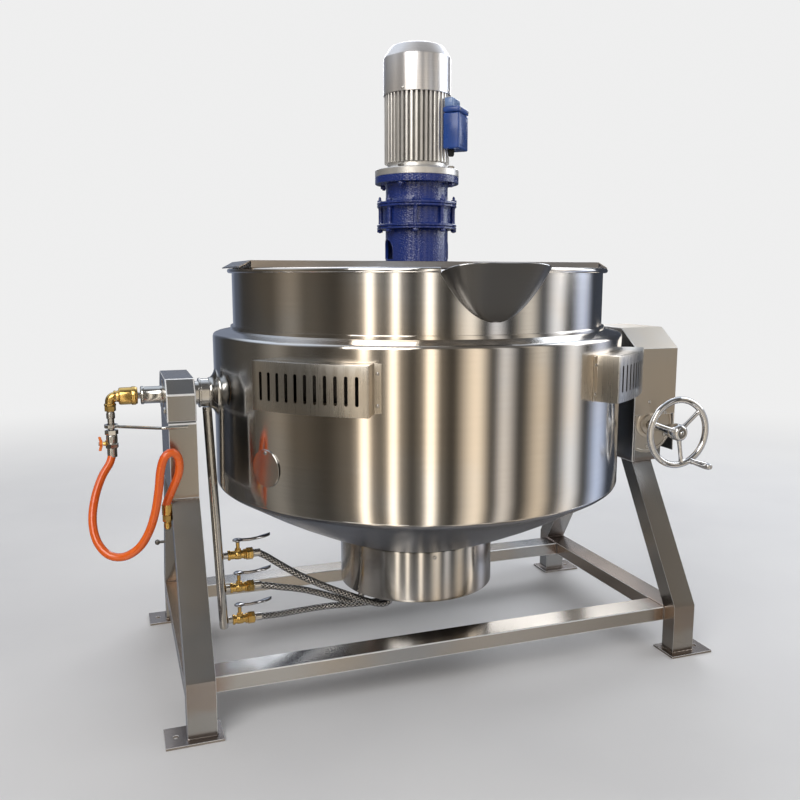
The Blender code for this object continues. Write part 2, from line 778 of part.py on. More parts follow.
def make_gear_head():
    """The channel on the right legs, with the rear worm bearing's boss on its rear wall."""
    half, wall, base = HEAD_HALF_Y, HEAD_WALL, SHOULDER_Z
    outline = (
        (-half, base), (half, base), (half, HEAD_WALL_TOP), (half - wall, HEAD_WALL_TOP),
        (half - wall, base + wall), (wall - half, base + wall),
        (wall - half, HEAD_WALL_TOP), (-half, HEAD_WALL_TOP),
    )
    middle = (LEG_INNER_X + HEAD_OUTER_X) / 2
    head = prism(
        "gear_head", outline, (HEAD_OUTER_X - LEG_INNER_X) / 2, STEEL, "stand",
        at(middle) @ OUTLINE_YZ,
    )
    start, end = (GEAR_X, half - wall / 2, WORM_Z), (GEAR_X, half + FLANGE_THICK, WORM_Z)
    join(head, rod("rear_boss", start, end, REAR_BOSS_R, None, "stand", STEPS_TUBE))
    start, end = (GEAR_X, 0, WORM_Z), (GEAR_X, half + FLANGE_THICK + OVERRUN, WORM_Z)
    cut(head, rod("rear_bore", start, end, WORM_SHAFT_R + RUN, None, "stand"))
    start, end = (GEAR_X, -half - OVERRUN, WORM_Z), (GEAR_X, 0, WORM_Z)
    cut(head, rod("front_bore", start, end, SPIGOT_R + GAP, None, "stand", STEPS_TUBE))


def make_worm_bearing():
    """The round flanged bearing in front of the gear head, clipped on the kettle's side."""
    back = HEAD_HALF_Y + GAP
    face = back + FLANGE_THICK
    bore = WORM_SHAFT_R + RUN
    profile = (
        (FLANGE_R, face), (FLANGE_R, back), (SPIGOT_R, back), (SPIGOT_R, back - SPIGOT_LONG),
        (bore, back - SPIGOT_LONG), (bore, face),
    )
    placing = at(GEAR_X, 0, WORM_Z) @ ALONG_MINUS_Y
    bearing = turned("worm_bearing", profile, CAST_IRON, "stand", placing)
    low = (GEAR_X - FLANGE_R - OVERRUN, -face - OVERRUN, WORM_Z - FLANGE_R - OVERRUN)
    high = (LEG_INNER_X, -back + OVERRUN, WORM_Z + FLANGE_R + OVERRUN)
    cut(bearing, box("flange_clip", low, high, None, "stand"))


def make_gear_cover():
    """Folded sheet cover over the worm gear, open below and towards the kettle."""
    half, top_half = COVER_HALF_Y, COVER_TOP_HALF_Y
    path = (
        (-half, COVER_FRONT_BOTTOM), (-half, COVER_SHOULDER), (-top_half, COVER_TOP),
        (top_half, COVER_TOP), (half, COVER_SHOULDER), (half, COVER_FRONT_BOTTOM),
    )
    count = len(path)
    points = [(PLATE_INNER_X, y, z) for y, z in path] + [(COVER_OUTER_X, y, z) for y, z in path]
    points += [(COVER_OUTER_X, half, COVER_SIDE_BOTTOM), (COVER_OUTER_X, -half, COVER_SIDE_BOTTOM)]
    faces = [(i, count + i, count + i + 1, i + 1) for i in range(count - 1)]
    faces.append(tuple(reversed(range(count, 2 * count + 2))))
    skin("gear_cover", points, faces, COVER_SHEET, -1, STEEL, "stand")


def make_gas_line():
    """Swivel union, riser, its bracket, the gas cock and the supply fitting on the leg."""
    start, end = SLEEVE_END_X + GAP, UNION_END_X
    blind = end - GAS_BORE_R
    profile = (
        (0, end), (UNION_R, end), (UNION_R, start), (GAS_BORE_R, start),
        (GAS_BORE_R, blind), (0, blind),
    )
    turned("gas_union", profile, BRASS, "stand", at(z=TILT_Z) @ ALONG_MINUS_X)

    bend_x = RISER_X - RISER_BEND
    route = [(-UNION_END_X - GAP, 0, TILT_Z)]
    for k in range(STEPS_TURN // 2 + 1):
        angle = math.pi * k / STEPS_TURN
        x = bend_x + RISER_BEND * math.sin(angle)
        route.append((-x, 0, TILT_Z - RISER_BEND + RISER_BEND * math.cos(angle)))
    route.append((-RISER_X, 0, RISER_BOTTOM))
    tube("gas_riser", route, RISER_R, DARK_STEEL, "stand")

    rod_y = -(COLUMN_HALF_Y + GAP + ROD_R)
    half = CLAMP_TALL / 2
    bracket = ring(
        "gas_bracket", CLAMP_R, RISER_R + GAP, CLAMP_Z - half, CLAMP_Z + half, STEEL, "stand",
        at(-RISER_X), STEPS_SMALL,
    )
    wall = (CLAMP_R + RISER_R) / 2
    corner_x = LEG_OUTER_X + 4 * ROD_R
    aim = Vector((RISER_X - corner_x, rod_y)).normalized() * wall
    route = (
        (-RISER_X + aim.x, aim.y, CLAMP_Z),
        (-corner_x, rod_y, ROD_END_Z),
        (-ROD_END_X, rod_y, ROD_END_Z),
    )
    join(bracket, as_mesh(tube("bracket_rod", route, ROD_R, None, "stand")))

    top = RISER_BOTTOM - GAP
    nut, foot = COCK_NUT_TALL, COCK_BOTTOM
    profile = (
        (COCK_NUT_R, top), (COCK_NUT_R, top - nut), (COCK_R, top - nut), (COCK_R, foot + nut),
        (COCK_NUT_R, foot + nut), (COCK_NUT_R, foot), (GAS_BORE_R, foot), (GAS_BORE_R, top),
    )
    body = turned("gas_cock_body", profile, BRASS, "stand", at(-RISER_X), STEPS_SMALL)
    start = (-RISER_X - (COCK_R + GAS_BORE_R) / 2, 0, COCK_STEM_Z)
    end = (-COCK_STEM_END_X, 0, COCK_STEM_Z)
    join(body, rod("cock_stem", start, end, COCK_STEM_R, None, "stand"))

    inner = COCK_STEM_END_X + GAP
    outer = inner + BUTTERFLY_THICK
    hub = disc(
        "gas_cock_handle", BUTTERFLY_HUB_R, inner, outer + COCK_STEM_R / 2, ORANGE, "gas_cock",
        at(z=COCK_STEM_Z) @ ALONG_MINUS_X, STEPS_SMALL,
    )
    tall = BUTTERFLY_TALL / 2
    low = (-outer, -tall, COCK_STEM_Z - BUTTERFLY_HALF)
    high = (-inner, tall, COCK_STEM_Z + BUTTERFLY_HALF)
    join(hub, box("butterfly_wings", low, high, None, "gas_cock"))

    nut = SUPPLY_TOP - SUPPLY_NUT_TALL
    profile = (
        (0, SUPPLY_TOP), (SUPPLY_R, SUPPLY_TOP), (SUPPLY_R, nut), (RISER_R - GAP, nut),
        (RISER_R - GAP, SUPPLY_BOTTOM), (0, SUPPLY_BOTTOM),
    )
    supply_x = LEG_OUTER_X + GAP + SUPPLY_R
    turned("gas_supply_fitting", profile, BRASS, "stand", at(-supply_x, SUPPLY_Y), STEPS_SMALL)
    cord("gas_hose", GAS_HOSE_ROUTE, GAS_HOSE_R, ORANGE, "stand")


def dish(radius, knuckle, depth):
    """Profile of a dished bottom, from the wall down to the axis."""
    points = []
    for k in range(DISH_STEPS):
        angle = math.pi / 2 * k / DISH_STEPS
        points.append((radius * math.cos(angle), knuckle - depth * math.sin(angle)))
    return points + [(0, knuckle - depth)]


def spout_half_width(z):
    """Half width of the spout where it meets the pot's wall."""
    share = (z - SPOUT_APEX_Z) / (SPOUT_CORNER_Z - SPOUT_APEX_Z)
    return SPOUT_HALF_WIDE * math.sqrt(share)


def make_pot():
    """The inner pot with its rolled rim, notched where the spout is."""
    bead_flat = RIM_BEAD_R * 2 / 3
    profile = list(reversed(dish(POT_IN, POT_KNUCKLE_Z, POT_DISH - POT_WALL)))
    profile += [
        (POT_IN, RIM_Z), (POT_R, RIM_TOP), (POT_R + bead_flat, RIM_TOP),
        (POT_R + RIM_BEAD_R, RIM_Z), (POT_R + bead_flat, RIM_Z - RIM_BEAD_HALF),
        (POT_R, RIM_Z - RIM_BEAD_HALF),
    ]
    profile += dish(POT_R, POT_KNUCKLE_Z, POT_DISH)
    pot = turned("inner_pot", profile, STEEL, "tilt", steps=STEPS_POT)
    notch_top = RIM_Z - RIM_BEAD_HALF - GAP
    rows = 6
    right = []
    for k in range(1, rows + 1):
        z = SPOUT_APEX_Z + (notch_top - SPOUT_APEX_Z) * k / rows
        right.append((spout_half_width(min(z, SPOUT_CORNER_Z)) - MOUTH_INSET, z))
    wide = SPOUT_HALF_WIDE + SPOUT_SHEET + 5 * GAP
    right += [(wide, notch_top), (wide, RIM_TOP + OVERRUN)]
    outline = right + [(-x, z) for x, z in reversed(right)]
    notch = prism(
        "spout_notch", outline, POT_R - SPOUT_HALF_WIDE * 3, None, "tilt",
        at(y=-POT_R) @ OUTLINE_XZ,
    )
    cut(pot, notch)


def make_jacket():
    """The jacket vessel round the pot, closed by the pot's wall at its top."""
    profile = list(reversed(dish(JACKET_R - JACKET_WALL, JACKET_KNUCKLE_Z, JACKET_DISH - JACKET_WALL)))
    profile += [
        (JACKET_R - JACKET_WALL, JACKET_TOP - JACKET_WALL),
        (POT_R + GAP, JACKET_TOP - JACKET_WALL),
        (POT_R + GAP, JACKET_TOP),
        (JACKET_R, JACKET_TOP),
    ]
    profile += dish(JACKET_R, JACKET_KNUCKLE_Z, JACKET_DISH)
    turned("jacket_vessel", profile, DARK_STEEL, "tilt", steps=STEPS_POT)


def vent_turns():
    """Turns about Z that take a vent box from the front to its four places."""
    middle = (VENT_NEAR + VENT_FAR) / 2
    return (
        ("front_left", -middle), ("front_right", middle),
        ("rear_left", middle - 180), ("rear_right", 180 - middle),
    )


def make_casing():
    """The outer casing with its cone, open to the vents, the port and the trunnions."""
    sheet = CASING_SHEET
    tuck = BURNER_R - sheet - GAP
    cone_r = (CASING_R + BURNER_R) / 2
    cone_z = (CASING_BOTTOM + BURNER_TOP) / 2 - CONE_BULGE
    seat = BURNER_TOP + GAP
    profile = (
        (POT_R + GAP, LEDGE_Z), (LEDGE_R, LEDGE_Z), (LEDGE_R, LEDGE_Z - LEDGE_BEAD_TALL),
        (CASING_R, CASING_TOP), (CASING_R, CASING_BOTTOM), (cone_r, cone_z),
        (BURNER_R, seat), (tuck, seat), (tuck, seat - COLLAR_TUCK),
        (tuck - sheet, seat - COLLAR_TUCK), (tuck - sheet, seat + sheet),
        (cone_r, cone_z + sheet), (CASING_R - sheet, CASING_BOTTOM + sheet),
        (CASING_R - sheet, CASING_TOP - sheet),
        (POT_R + GAP, LEDGE_Z - LEDGE_BEAD_TALL - sheet),
    )
    casing = turned("outer_casing", profile, STEEL, "tilt", steps=STEPS_POT)
    half = CASING_R * math.sin(math.radians((VENT_FAR - VENT_NEAR) / 3))
    low = (-half, -CASING_R - OVERRUN, VENT_SLOT_BOTTOM)
    high = (half, -CASING_R + 2 * OVERRUN, VENT_SLOT_TOP)
    for name, turn in vent_turns():
        placing = Matrix.Rotation(math.radians(turn), 4, "Z")
        cut(casing, box(f"flue_{name}", low, high, None, "tilt", placing))
    start = from_front(CASING_R - 2 * OVERRUN, -PORT_AZIMUTH, PORT_Z)
    end = from_front(CASING_R + OVERRUN, -PORT_AZIMUTH, PORT_Z)
    cut(casing, rod("port_hole", start, end, PORT_HOLE_R, None, "tilt"))
    for side in (-1, 1):
        start = (side * (CASING_R - 2 * OVERRUN), 0, TILT_Z)
        end = (side * (CASING_R + OVERRUN), 0, TILT_Z)
        cut(casing, rod("trunnion_hole", start, end, TRUNNION_R + RUN, None, "tilt"))


def make_burner():
    """The burner housing, and three ring burners with their inlets on one cross bar."""
    housing = ring(
        "burner_housing", BURNER_R, BURNER_R - CASING_SHEET, BURNER_BOTTOM, BURNER_TOP,
        STEEL, "tilt", steps=STEPS_POT,
    )
    seat = BURNER_R - CASING_SHEET / 2
    join(housing, screw_head(seat, HOUSING_SCREW_AZIMUTH, HOUSING_SCREW_Z))
    bar_top = BURNER_Z - BURNER_TUBE_R / 2
    inside = (BURNER_R - CASING_SHEET) * math.cos(math.pi / STEPS_POT)
    reach = math.sqrt(inside ** 2 - (BURNER_BAR_WIDE / 2) ** 2) - GAP
    low = (-BURNER_BAR_WIDE / 2, -reach, bar_top - BURNER_BAR_TALL)
    high = (BURNER_BAR_WIDE / 2, reach, bar_top)
    burners = box("burner_rings", low, high, CAST_IRON, "tilt")
    for radius, angle in zip(BURNER_RING_RS, INLET_ANGLES):
        points = [polar(radius, 360 * k / STEPS_SMALL, BURNER_Z) for k in range(STEPS_SMALL)]
        loop = tube("burner", points, BURNER_TUBE_R, None, "tilt", resolution=1, closed=True)
        join(burners, as_mesh(loop))
        inlet = rod(
            "burner_inlet", polar(radius, angle, BURNER_Z), polar(radius, angle, INLET_END_Z),
            INLET_R, None, "tilt", STEPS_SMALL // 2,
        )
        join(burners, inlet)


def make_spout():
    """The pouring spout, lofted from its apex on the wall up to the squared lip."""
    rows, across = 7, 14
    seat_r = POT_R - SPOUT_SHEET / 2
    points = [(0, -seat_r, SPOUT_APEX_Z)]
    for k in range(1, rows + 1):
        share = (k / rows) ** 1.5
        wall_z = SPOUT_APEX_Z + share * (SPOUT_CORNER_Z - SPOUT_APEX_Z)
        half = spout_half_width(wall_z)
        chord = math.sqrt(seat_r ** 2 - half ** 2)
        depth = seat_r + share * (SPOUT_LIP_Y - POT_R) - chord
        for i in range(across + 1):
            angle = math.pi * i / across
            power = 2 / SPOUT_SQUARENESS
            aside = math.copysign(abs(math.cos(angle)) ** power, math.cos(angle))
            out = abs(math.sin(angle)) ** power
            top = SPOUT_CORNER_Z + out * (SPOUT_LIP_Z - SPOUT_CORNER_Z)
            z = SPOUT_APEX_Z + share * (top - SPOUT_APEX_Z)
            points.append((half * aside, -chord - depth * out, z))
    faces = [(0, 1 + i, 2 + i) for i in range(across)]
    for k in range(rows - 1):
        for i in range(across):
            start = 1 + k * (across + 1) + i
            above = start + across + 1
            faces.append((above, above + 1, start + 1, start))
    spout = skin("pour_spout", points, faces, SPOUT_SHEET, 1, STEEL, "tilt")
    low, high = SPOUT_APEX_Z - 2 * OVERRUN, SPOUT_LIP_Z + OVERRUN
    cut(spout, disc("pot_shape", POT_R + GAP, low, high, None, "tilt", steps=STEPS_POT))


def make_bridge():
    """The folded sheet bridge across the pot, with a sloping tab at each end."""
    top, foot = BRIDGE_TOP, RIM_TOP + GAP
    half, reach = BRIDGE_HALF_Y, BRIDGE_HALF_X
    points = []
    for x in (-reach, reach):
        points += [(x, -half, foot), (x, -half, top), (x, half, top), (x, half, foot)]
    tab_z = foot + BRIDGE_SHEET
    for x in (-BRIDGE_TAB_X, BRIDGE_TAB_X):
        points += [(x, -half, tab_z), (x, half, tab_z)]
    faces = [(0, 4, 5, 1), (1, 5, 6, 2), (2, 6, 7, 3), (8, 1, 2, 9), (5, 10, 11, 6)]
    bridge = skin("bridge", points, faces, BRIDGE_SHEET, -1, STEEL, "tilt")
    start, end = (0, 0, top - 2 * OVERRUN), (0, 0, top + OVERRUN)
    cut(bridge, rod("bridge_bore", start, end, BRIDGE_BORE_R, None, "tilt"))


def screw_head(radius, azimuth, z):
    """Guide of a round screw head that stands on a radius about the pot's axis."""
    start = from_front(radius, azimuth, z)
    end = from_front(radius + SCREW_HEAD_TALL, azimuth, z)
    return rod("screw_head", start, end, SCREW_HEAD_R, None, "tilt", STEPS_SMALL // 2)


def vent_slots():
    """Cutter of the upright slots in the box's curved front."""
    half = VENT_SLOT_WIDE / 2
    low, high = VENT_SLOT_BOTTOM, VENT_SLOT_TOP
    outline = ((-half, low), (half, low), (half, high), (-half, high))
    step = (VENT_FAR - VENT_NEAR) / (VENT_SLOTS + 1)
    cutters = []
    for k in range(VENT_SLOTS):
        turn = math.radians((k - (VENT_SLOTS - 1) / 2) * step)
        placing = Matrix.Rotation(turn, 4, "Z") @ at(y=-VENT_R) @ OUTLINE_XZ
        cutters.append(prism("slot", outline, OVERRUN / 2, None, "tilt", placing))
    return joined_cutter("vent_slots", cutters)


def make_vents():
    """Four flue vent boxes: curved front, top, bottom, ends and screwed flanges."""
    half = (VENT_FAR - VENT_NEAR) / 2
    pieces = 4
    seat, back = CASING_R + GAP, CASING_R + VENT_SHEET
    angles = [half * (2 * k / pieces - 1) for k in range(pieces + 1)]
    path = [from_front(seat, -half - VENT_FLANGE), from_front(seat, -half)]
    path += [from_front(VENT_R, angle) for angle in angles]
    path += [from_front(seat, half), from_front(seat, half + VENT_FLANGE)]
    points, faces = strip([(place.x, place.y) for place in path], VENT_BOTTOM, VENT_TOP)
    count = len(path)
    for level, z in ((0, VENT_BOTTOM), (count, VENT_TOP)):
        front = [level + k for k in range(1, count - 1)]
        behind = []
        for angle in reversed(angles[1:-1]):
            behind.append(len(points))
            points.append(tuple(from_front(back, angle, z)))
        cap = front + behind
        faces.append(tuple(cap) if level else tuple(reversed(cap)))
    slots = vent_slots()
    edge = half + VENT_FLANGE / 2
    for name, turn in vent_turns():
        placing = Matrix.Rotation(math.radians(turn), 4, "Z")
        vent = skin(f"vent_{name}", points, faces, VENT_SHEET, 1, STEEL, "tilt", placing)
        for side in (-edge, edge):
            for share in SCREW_HEIGHT_SHARES:
                z = VENT_BOTTOM + share * (VENT_TOP - VENT_BOTTOM)
                join(vent, screw_head(CASING_R + VENT_SHEET / 2, turn + side, z))
        cutter = slots.copy()
        cutter.matrix_basis = placing @ slots.matrix_basis
        COLLECTIONS["cutters"].objects.link(cutter)
        cut(vent, cutter)
    bpy.data.objects.remove(slots)


def make_port_cover():
    """Round cover of the lighting port, and the screw near its top that it swings on."""
    placing = Matrix.Rotation(math.radians(-PORT_AZIMUTH), 4, "Z") @ at(z=PORT_Z) @ ALONG_MINUS_Y
    back = CASING_R + GAP
    cover = disc(
        "port_cover", PORT_R, back, back + PORT_SHEET, STEEL, "port_cover", placing, STEPS_TUBE
    )
    start = from_front(back - OVERRUN, -PORT_AZIMUTH, PORT_PIVOT_Z)
    end = from_front(back + OVERRUN, -PORT_AZIMUTH, PORT_PIVOT_Z)
    cut(cover, rod("pivot_hole", start, end, PORT_PIVOT_HOLE_R, None, "port_cover", STEPS_SMALL // 2))
    seat = back + PORT_SHEET + GAP
    top = seat + SCREW_HEAD_TALL
    profile = (
        (0, top), (SCREW_HEAD_R, top), (SCREW_HEAD_R, seat), (PORT_PIVOT_R, seat),
        (PORT_PIVOT_R, back), (0, back),
    )
    placing = (
        Matrix.Rotation(math.radians(-PORT_AZIMUTH), 4, "Z") @ at(z=PORT_PIVOT_Z) @ ALONG_MINUS_Y
    )
    turned("port_screw", profile, CHROME, "tilt", placing, STEPS_SMALL // 2)


def make_trunnions():
    """The hollow left trunnion with its swivel sleeve, and the right one for the wheel."""
    seat = JACKET_R + GAP
    flare = CASING_R + GAP
    collar = (
        (TRUNNION_R, COLLAR_END_X), (COLLAR_R, COLLAR_END_X), (COLLAR_R, flare + FLARE_LONG),
        (FLARE_R, flare), (TRUNNION_R, flare), (TRUNNION_R, seat), (0, seat),
    )
    shoulder = HOUSING_OUTER_X + GAP
    blind = COLLAR_END_X - 2 * MANIFOLD_R
    left = (
        (0, blind), (GAS_BORE_R, blind), (GAS_BORE_R, SLEEVE_END_X),
        (SLEEVE_RING_R, SLEEVE_END_X), (SLEEVE_RING_R, SLEEVE_END_X - SLEEVE_RING_LONG),
        (SLEEVE_R, SLEEVE_END_X - SLEEVE_RING_LONG), (SLEEVE_R, shoulder),
        (TRUNNION_R, shoulder),
    ) + collar
    turned("left_trunnion", left, STEEL, "tilt", at(z=TILT_Z) @ ALONG_MINUS_X)
    end = GEAR_X + WHEEL_HUB_LONG / 2 + TRUNNION_R / 3
    right = ((0, end), (TRUNNION_R, end)) + collar
    turned("right_trunnion", right, STEEL, "tilt", at(z=TILT_Z) @ ALONG_X)


def make_worm_wheel():
    """The worm wheel on the right trunnion, with a tooth gap straight below the axis."""
    outline = []
    tip, root = WHEEL_PITCH_R + TOOTH_REACH, WHEEL_PITCH_R - WHEEL_ROOT
    tip_half = TOOTH_THICK / 2 - TOOTH_LEAN
    root_half = TOOTH_THICK / 2 + TOOTH_LEAN * WHEEL_ROOT / TOOTH_REACH
    for k in range(WHEEL_TEETH):
        middle = 2 * math.pi * (k + 0.5) / WHEEL_TEETH
        for radius, half in ((root, -root_half), (tip, -tip_half), (tip, tip_half), (root, root_half)):
            angle = middle + half / radius
            outline.append((radius * math.sin(angle), -radius * math.cos(angle)))
    placing = at(GEAR_X, 0, TILT_Z) @ OUTLINE_YZ
    wheel = prism("worm_wheel", outline, WHEEL_FACE / 2, BRONZE, "tilt", placing)
    start = (GEAR_X - WHEEL_HUB_LONG / 2, 0, TILT_Z)
    end = (GEAR_X + WHEEL_HUB_LONG / 2, 0, TILT_Z)
    join(wheel, rod("wheel_hub", start, end, WHEEL_HUB_R, None, "tilt", STEPS_TUBE))
    start = (GEAR_X - WHEEL_HUB_LONG, 0, TILT_Z)
    end = (GEAR_X + WHEEL_HUB_LONG, 0, TILT_Z)
    cut(wheel, rod("wheel_bore", start, end, TRUNNION_R + GAP, None, "tilt", STEPS_TUBE))


def worm_thread():
    """The worm's helical thread: one section swept round the shaft, with closed ends."""
    root, crest = (WORM_PITCH_R - WORM_ROOT) * 0.9, WORM_PITCH_R + TOOTH_REACH
    root_half = TOOTH_THICK / 2 + TOOTH_LEAN * (WORM_PITCH_R - root) / TOOTH_REACH
    crest_half = TOOTH_THICK / 2 - TOOTH_LEAN
    section = ((root, -root_half), (crest, -crest_half), (crest, crest_half), (root, root_half))
    bm = bmesh.new()
    loops = []
    for k in range(WORM_TURNS * STEPS_WORM + 1):
        turn = k / STEPS_WORM - WORM_TURNS / 2
        angle = 2 * math.pi * turn
        loops.append([
            bm.verts.new((radius * math.sin(angle), THREAD_PITCH * turn + along, radius * math.cos(angle)))
            for radius, along in section
        ])
    for first, second in zip(loops, loops[1:]):
        for i in range(len(section)):
            j = (i + 1) % len(section)
            bm.faces.new((first[i], second[i], second[j], first[j]))
    bm.faces.new(loops[0])
    bm.faces.new(list(reversed(loops[-1])))
    bmesh.ops.recalc_face_normals(bm, faces=bm.faces)
    return put("worm_thread", mesh_of("worm_thread", bm), None, "handwheel", at(GEAR_X, 0, WORM_Z))


def make_worm():
    """The worm on its shaft, from the rear bearing to the handwheel's hub."""
    core = WORM_PITCH_R - WORM_ROOT
    core_half = THREAD_PITCH * WORM_TURNS / 2 + TOOTH_THICK
    front = HANDWHEEL_HUB_LONG / 2 - HANDWHEEL_Y
    profile = (
        (0, front), (WORM_SHAFT_R, front), (WORM_SHAFT_R, core_half), (core, core_half),
        (core, -core_half), (WORM_SHAFT_R, -core_half), (WORM_SHAFT_R, -WORM_SHAFT_REAR_Y),
        (0, -WORM_SHAFT_REAR_Y),
    )
    placing = at(GEAR_X, 0, WORM_Z) @ ALONG_MINUS_Y
    worm = turned("worm_shaft", profile, DARK_STEEL, "handwheel", placing, STEPS_WORM)
    join(worm, worm_thread())


def grip_place(y):
    """Point on the grip's axis."""
    place = polar(HANDWHEEL_R, GRIP_ANGLE)
    return Vector((GEAR_X + place.x, y, WORM_Z + place.y))


def make_handwheel():
    """The handwheel with three spokes, and its turning grip on a pin."""
    centre = Vector((GEAR_X, HANDWHEEL_Y, WORM_Z))
    points = []
    for k in range(STEPS_TUBE):
        place = polar(HANDWHEEL_R, 360 * k / STEPS_TUBE)
        points.append(centre + Vector((place.x, 0, place.y)))
    wheel = as_mesh(tube("handwheel", points, HANDWHEEL_RIM_R, CHROME, "handwheel", closed=True))
    half = HANDWHEEL_HUB_LONG / 2
    start, end = centre - Vector((0, half, 0)), centre + Vector((0, half, 0))
    join(wheel, rod("wheel_boss", start, end, HANDWHEEL_HUB_R, None, "handwheel"))
    for angle in SPOKE_ANGLES:
        out = polar(1, angle)
        aim = Vector((out.x, 0, out.y))
        spoke = rod(
            "spoke", centre + aim * HANDWHEEL_HUB_R / 2, centre + aim * HANDWHEEL_R,
            SPOKE_R, None, "handwheel", STEPS_SMALL // 2,
        )
        join(wheel, spoke)
    face = HANDWHEEL_Y - HANDWHEEL_RIM_R - GAP
    end_y = face - GRIP_LONG
    pin = rod(
        "grip_pin", grip_place(HANDWHEEL_Y), grip_place(end_y - GRIP_PIN_HEAD),
        GRIP_PIN_R, None, "handwheel", STEPS_SMALL // 2,
    )
    join(wheel, pin)
    start, end = centre - Vector((0, 2 * half, 0)), centre + Vector((0, 2 * half, 0))
    cut(wheel, rod("boss_bore", start, end, WORM_SHAFT_R + GAP, None, "handwheel"))
    axis = grip_place(0)
    placing = at(axis.x, 0, axis.z) @ ALONG_MINUS_Y
    ring(
        "handwheel_grip", GRIP_R, GRIP_PIN_R + 2 * GAP, -face, -end_y, CHROME, "grip",
        placing, STEPS_SMALL,
    )


def manifold_top():
    """Height of the manifold's top end, just under the left trunnion's collar."""
    return TILT_Z - COLLAR_R - RUN


def manifold_x(z):
    """Distance of the leaning manifold pipe from the pot's axis at a height."""
    share = (manifold_top() - z) / (manifold_top() - MANIFOLD_BOTTOM_Z)
    return MANIFOLD_TOP_X + share * (MANIFOLD_BOTTOM_X - MANIFOLD_TOP_X)


def make_gas_manifold():
    """The gas pipe down the casing's side and the three valves that branch off it."""
    start = (-MANIFOLD_TOP_X, 0, manifold_top())
    end = (-MANIFOLD_BOTTOM_X, 0, MANIFOLD_BOTTOM_Z)
    rod("gas_manifold", start, end, MANIFOLD_R, STEEL, "tilt")
    for number, z in enumerate(VALVE_ZS, 1):
        start = manifold_x(z) - MANIFOLD_R - 3 * GAP
        nut = VALVE_NUT_LONG
        profile = (
            (0, start), (VALVE_NUT_R, start), (VALVE_NUT_R, start - nut), (VALVE_R, start - nut),
            (VALVE_R, VALVE_END_X + nut), (VALVE_NUT_R, VALVE_END_X + nut),
            (VALVE_NUT_R, VALVE_END_X), (0, VALVE_END_X),
        )
        placing = at(z=z) @ ALONG_MINUS_X
        valve = turned(f"gas_valve_{number}", profile, BRASS, "tilt", placing, STEPS_SMALL)
        start, end = (-VALVE_STEM_X, 0, z), (-VALVE_STEM_X, 0, z + VALVE_STEM_TALL)
        join(valve, rod("valve_stem", start, end, VALVE_STEM_R, None, "tilt", STEPS_SMALL // 2))


def make_valve_levers():
    """A lever on each valve stem, along the valve when it is open."""
    for number, z in enumerate(VALVE_ZS, 1):
        body = f"valve_{number}"
        foot = z + VALVE_STEM_TALL + GAP
        lever = disc(
            f"valve_lever_{number}", LEVER_HUB_R, foot, foot + LEVER_HUB_TALL, CHROME, body,
            at(-VALVE_STEM_X), STEPS_SMALL,
        )
        start = Vector((-VALVE_STEM_X, 0, foot + LEVER_HUB_TALL / 2))
        tip = start + Vector((LEVER_LONG, 0, LEVER_RISE))
        knob = start.lerp(tip, 1 - 3 * LEVER_TIP_R / LEVER_LONG)
        join(lever, rod("lever_arm", start, start.lerp(tip, 0.9), LEVER_R, None, body, STEPS_SMALL // 2))
        join(lever, rod("lever_tip", knob, tip, LEVER_TIP_R, None, body, STEPS_SMALL // 2))


def make_burner_hoses():
    """Braided hoses from the valves to the burners' inlets."""
    for number, route in enumerate(BURNER_HOSE_ROUTES, 1):
        cord(f"burner_hose_{number}", route, BRAID_R, BRAID, "tilt")


def make_reducer():
    """Lantern with arched windows, and the reducer housing held by its through bolts."""
    lantern = ring(
        "drive_lantern", LANTERN_R, LANTERN_R - LANTERN_WALL, DECK, LANTERN_TOP, BLUE, "tilt"
    )
    half = LANTERN_WINDOW_WIDE / 2
    sill = DECK + LANTERN_WALL
    arch = sill + LANTERN_WINDOW_TALL - half
    outline = [(-half, sill), (half, sill)]
    for k in range(STEPS_ARC * 2 + 1):
        angle = math.pi * k / (STEPS_ARC * 2)
        outline.append((half * math.cos(angle), arch + half * math.sin(angle)))
    windows = prism("lantern_windows", outline, LANTERN_R + OVERRUN, None, "tilt", OUTLINE_YZ)
    cut(lantern, windows)

    shaft_top = STIRRER_SHAFT_TOP + GAP
    wide, narrow = STIRRER_SHAFT_R + RUN, ROTOR_SHAFT_R + RUN
    profile = (
        (narrow, NECK_TOP), (REDUCER_NECK_R, NECK_TOP), (REDUCER_NECK_R, REDUCER_TOP),
        (REDUCER_RING_R, REDUCER_TOP), (REDUCER_RING_R, REDUCER_TOP - REDUCER_RING_TALL),
        (REDUCER_BODY_R, REDUCER_TOP - REDUCER_RING_TALL),
        (REDUCER_BODY_R, LANTERN_TOP + REDUCER_RING_TALL),
        (REDUCER_RING_R, LANTERN_TOP + REDUCER_RING_TALL), (REDUCER_RING_R, LANTERN_TOP + GAP),
        (wide, LANTERN_TOP + GAP), (wide, shaft_top), (narrow, shaft_top),
    )
    housing = turned("reducer_housing", profile, BLUE, "tilt")
    circle = REDUCER_RING_R - BOLT_INSET
    for k in range(REDUCER_BOLTS):
        place = polar(circle, 360 * (k + 0.5) / REDUCER_BOLTS)
        for radius, low, high in (
            (BOLT_HEAD_R, REDUCER_TOP - RUN, REDUCER_TOP + BOLT_HEAD_TALL),
            (BOLT_R, LANTERN_TOP - BOLT_HEAD_TALL, REDUCER_TOP + BOLT_END),
        ):
            start, end = (place.x, place.y, low), (place.x, place.y, high)
            join(housing, rod("bolt", start, end, radius, None, "tilt", BOLT_SIDES))


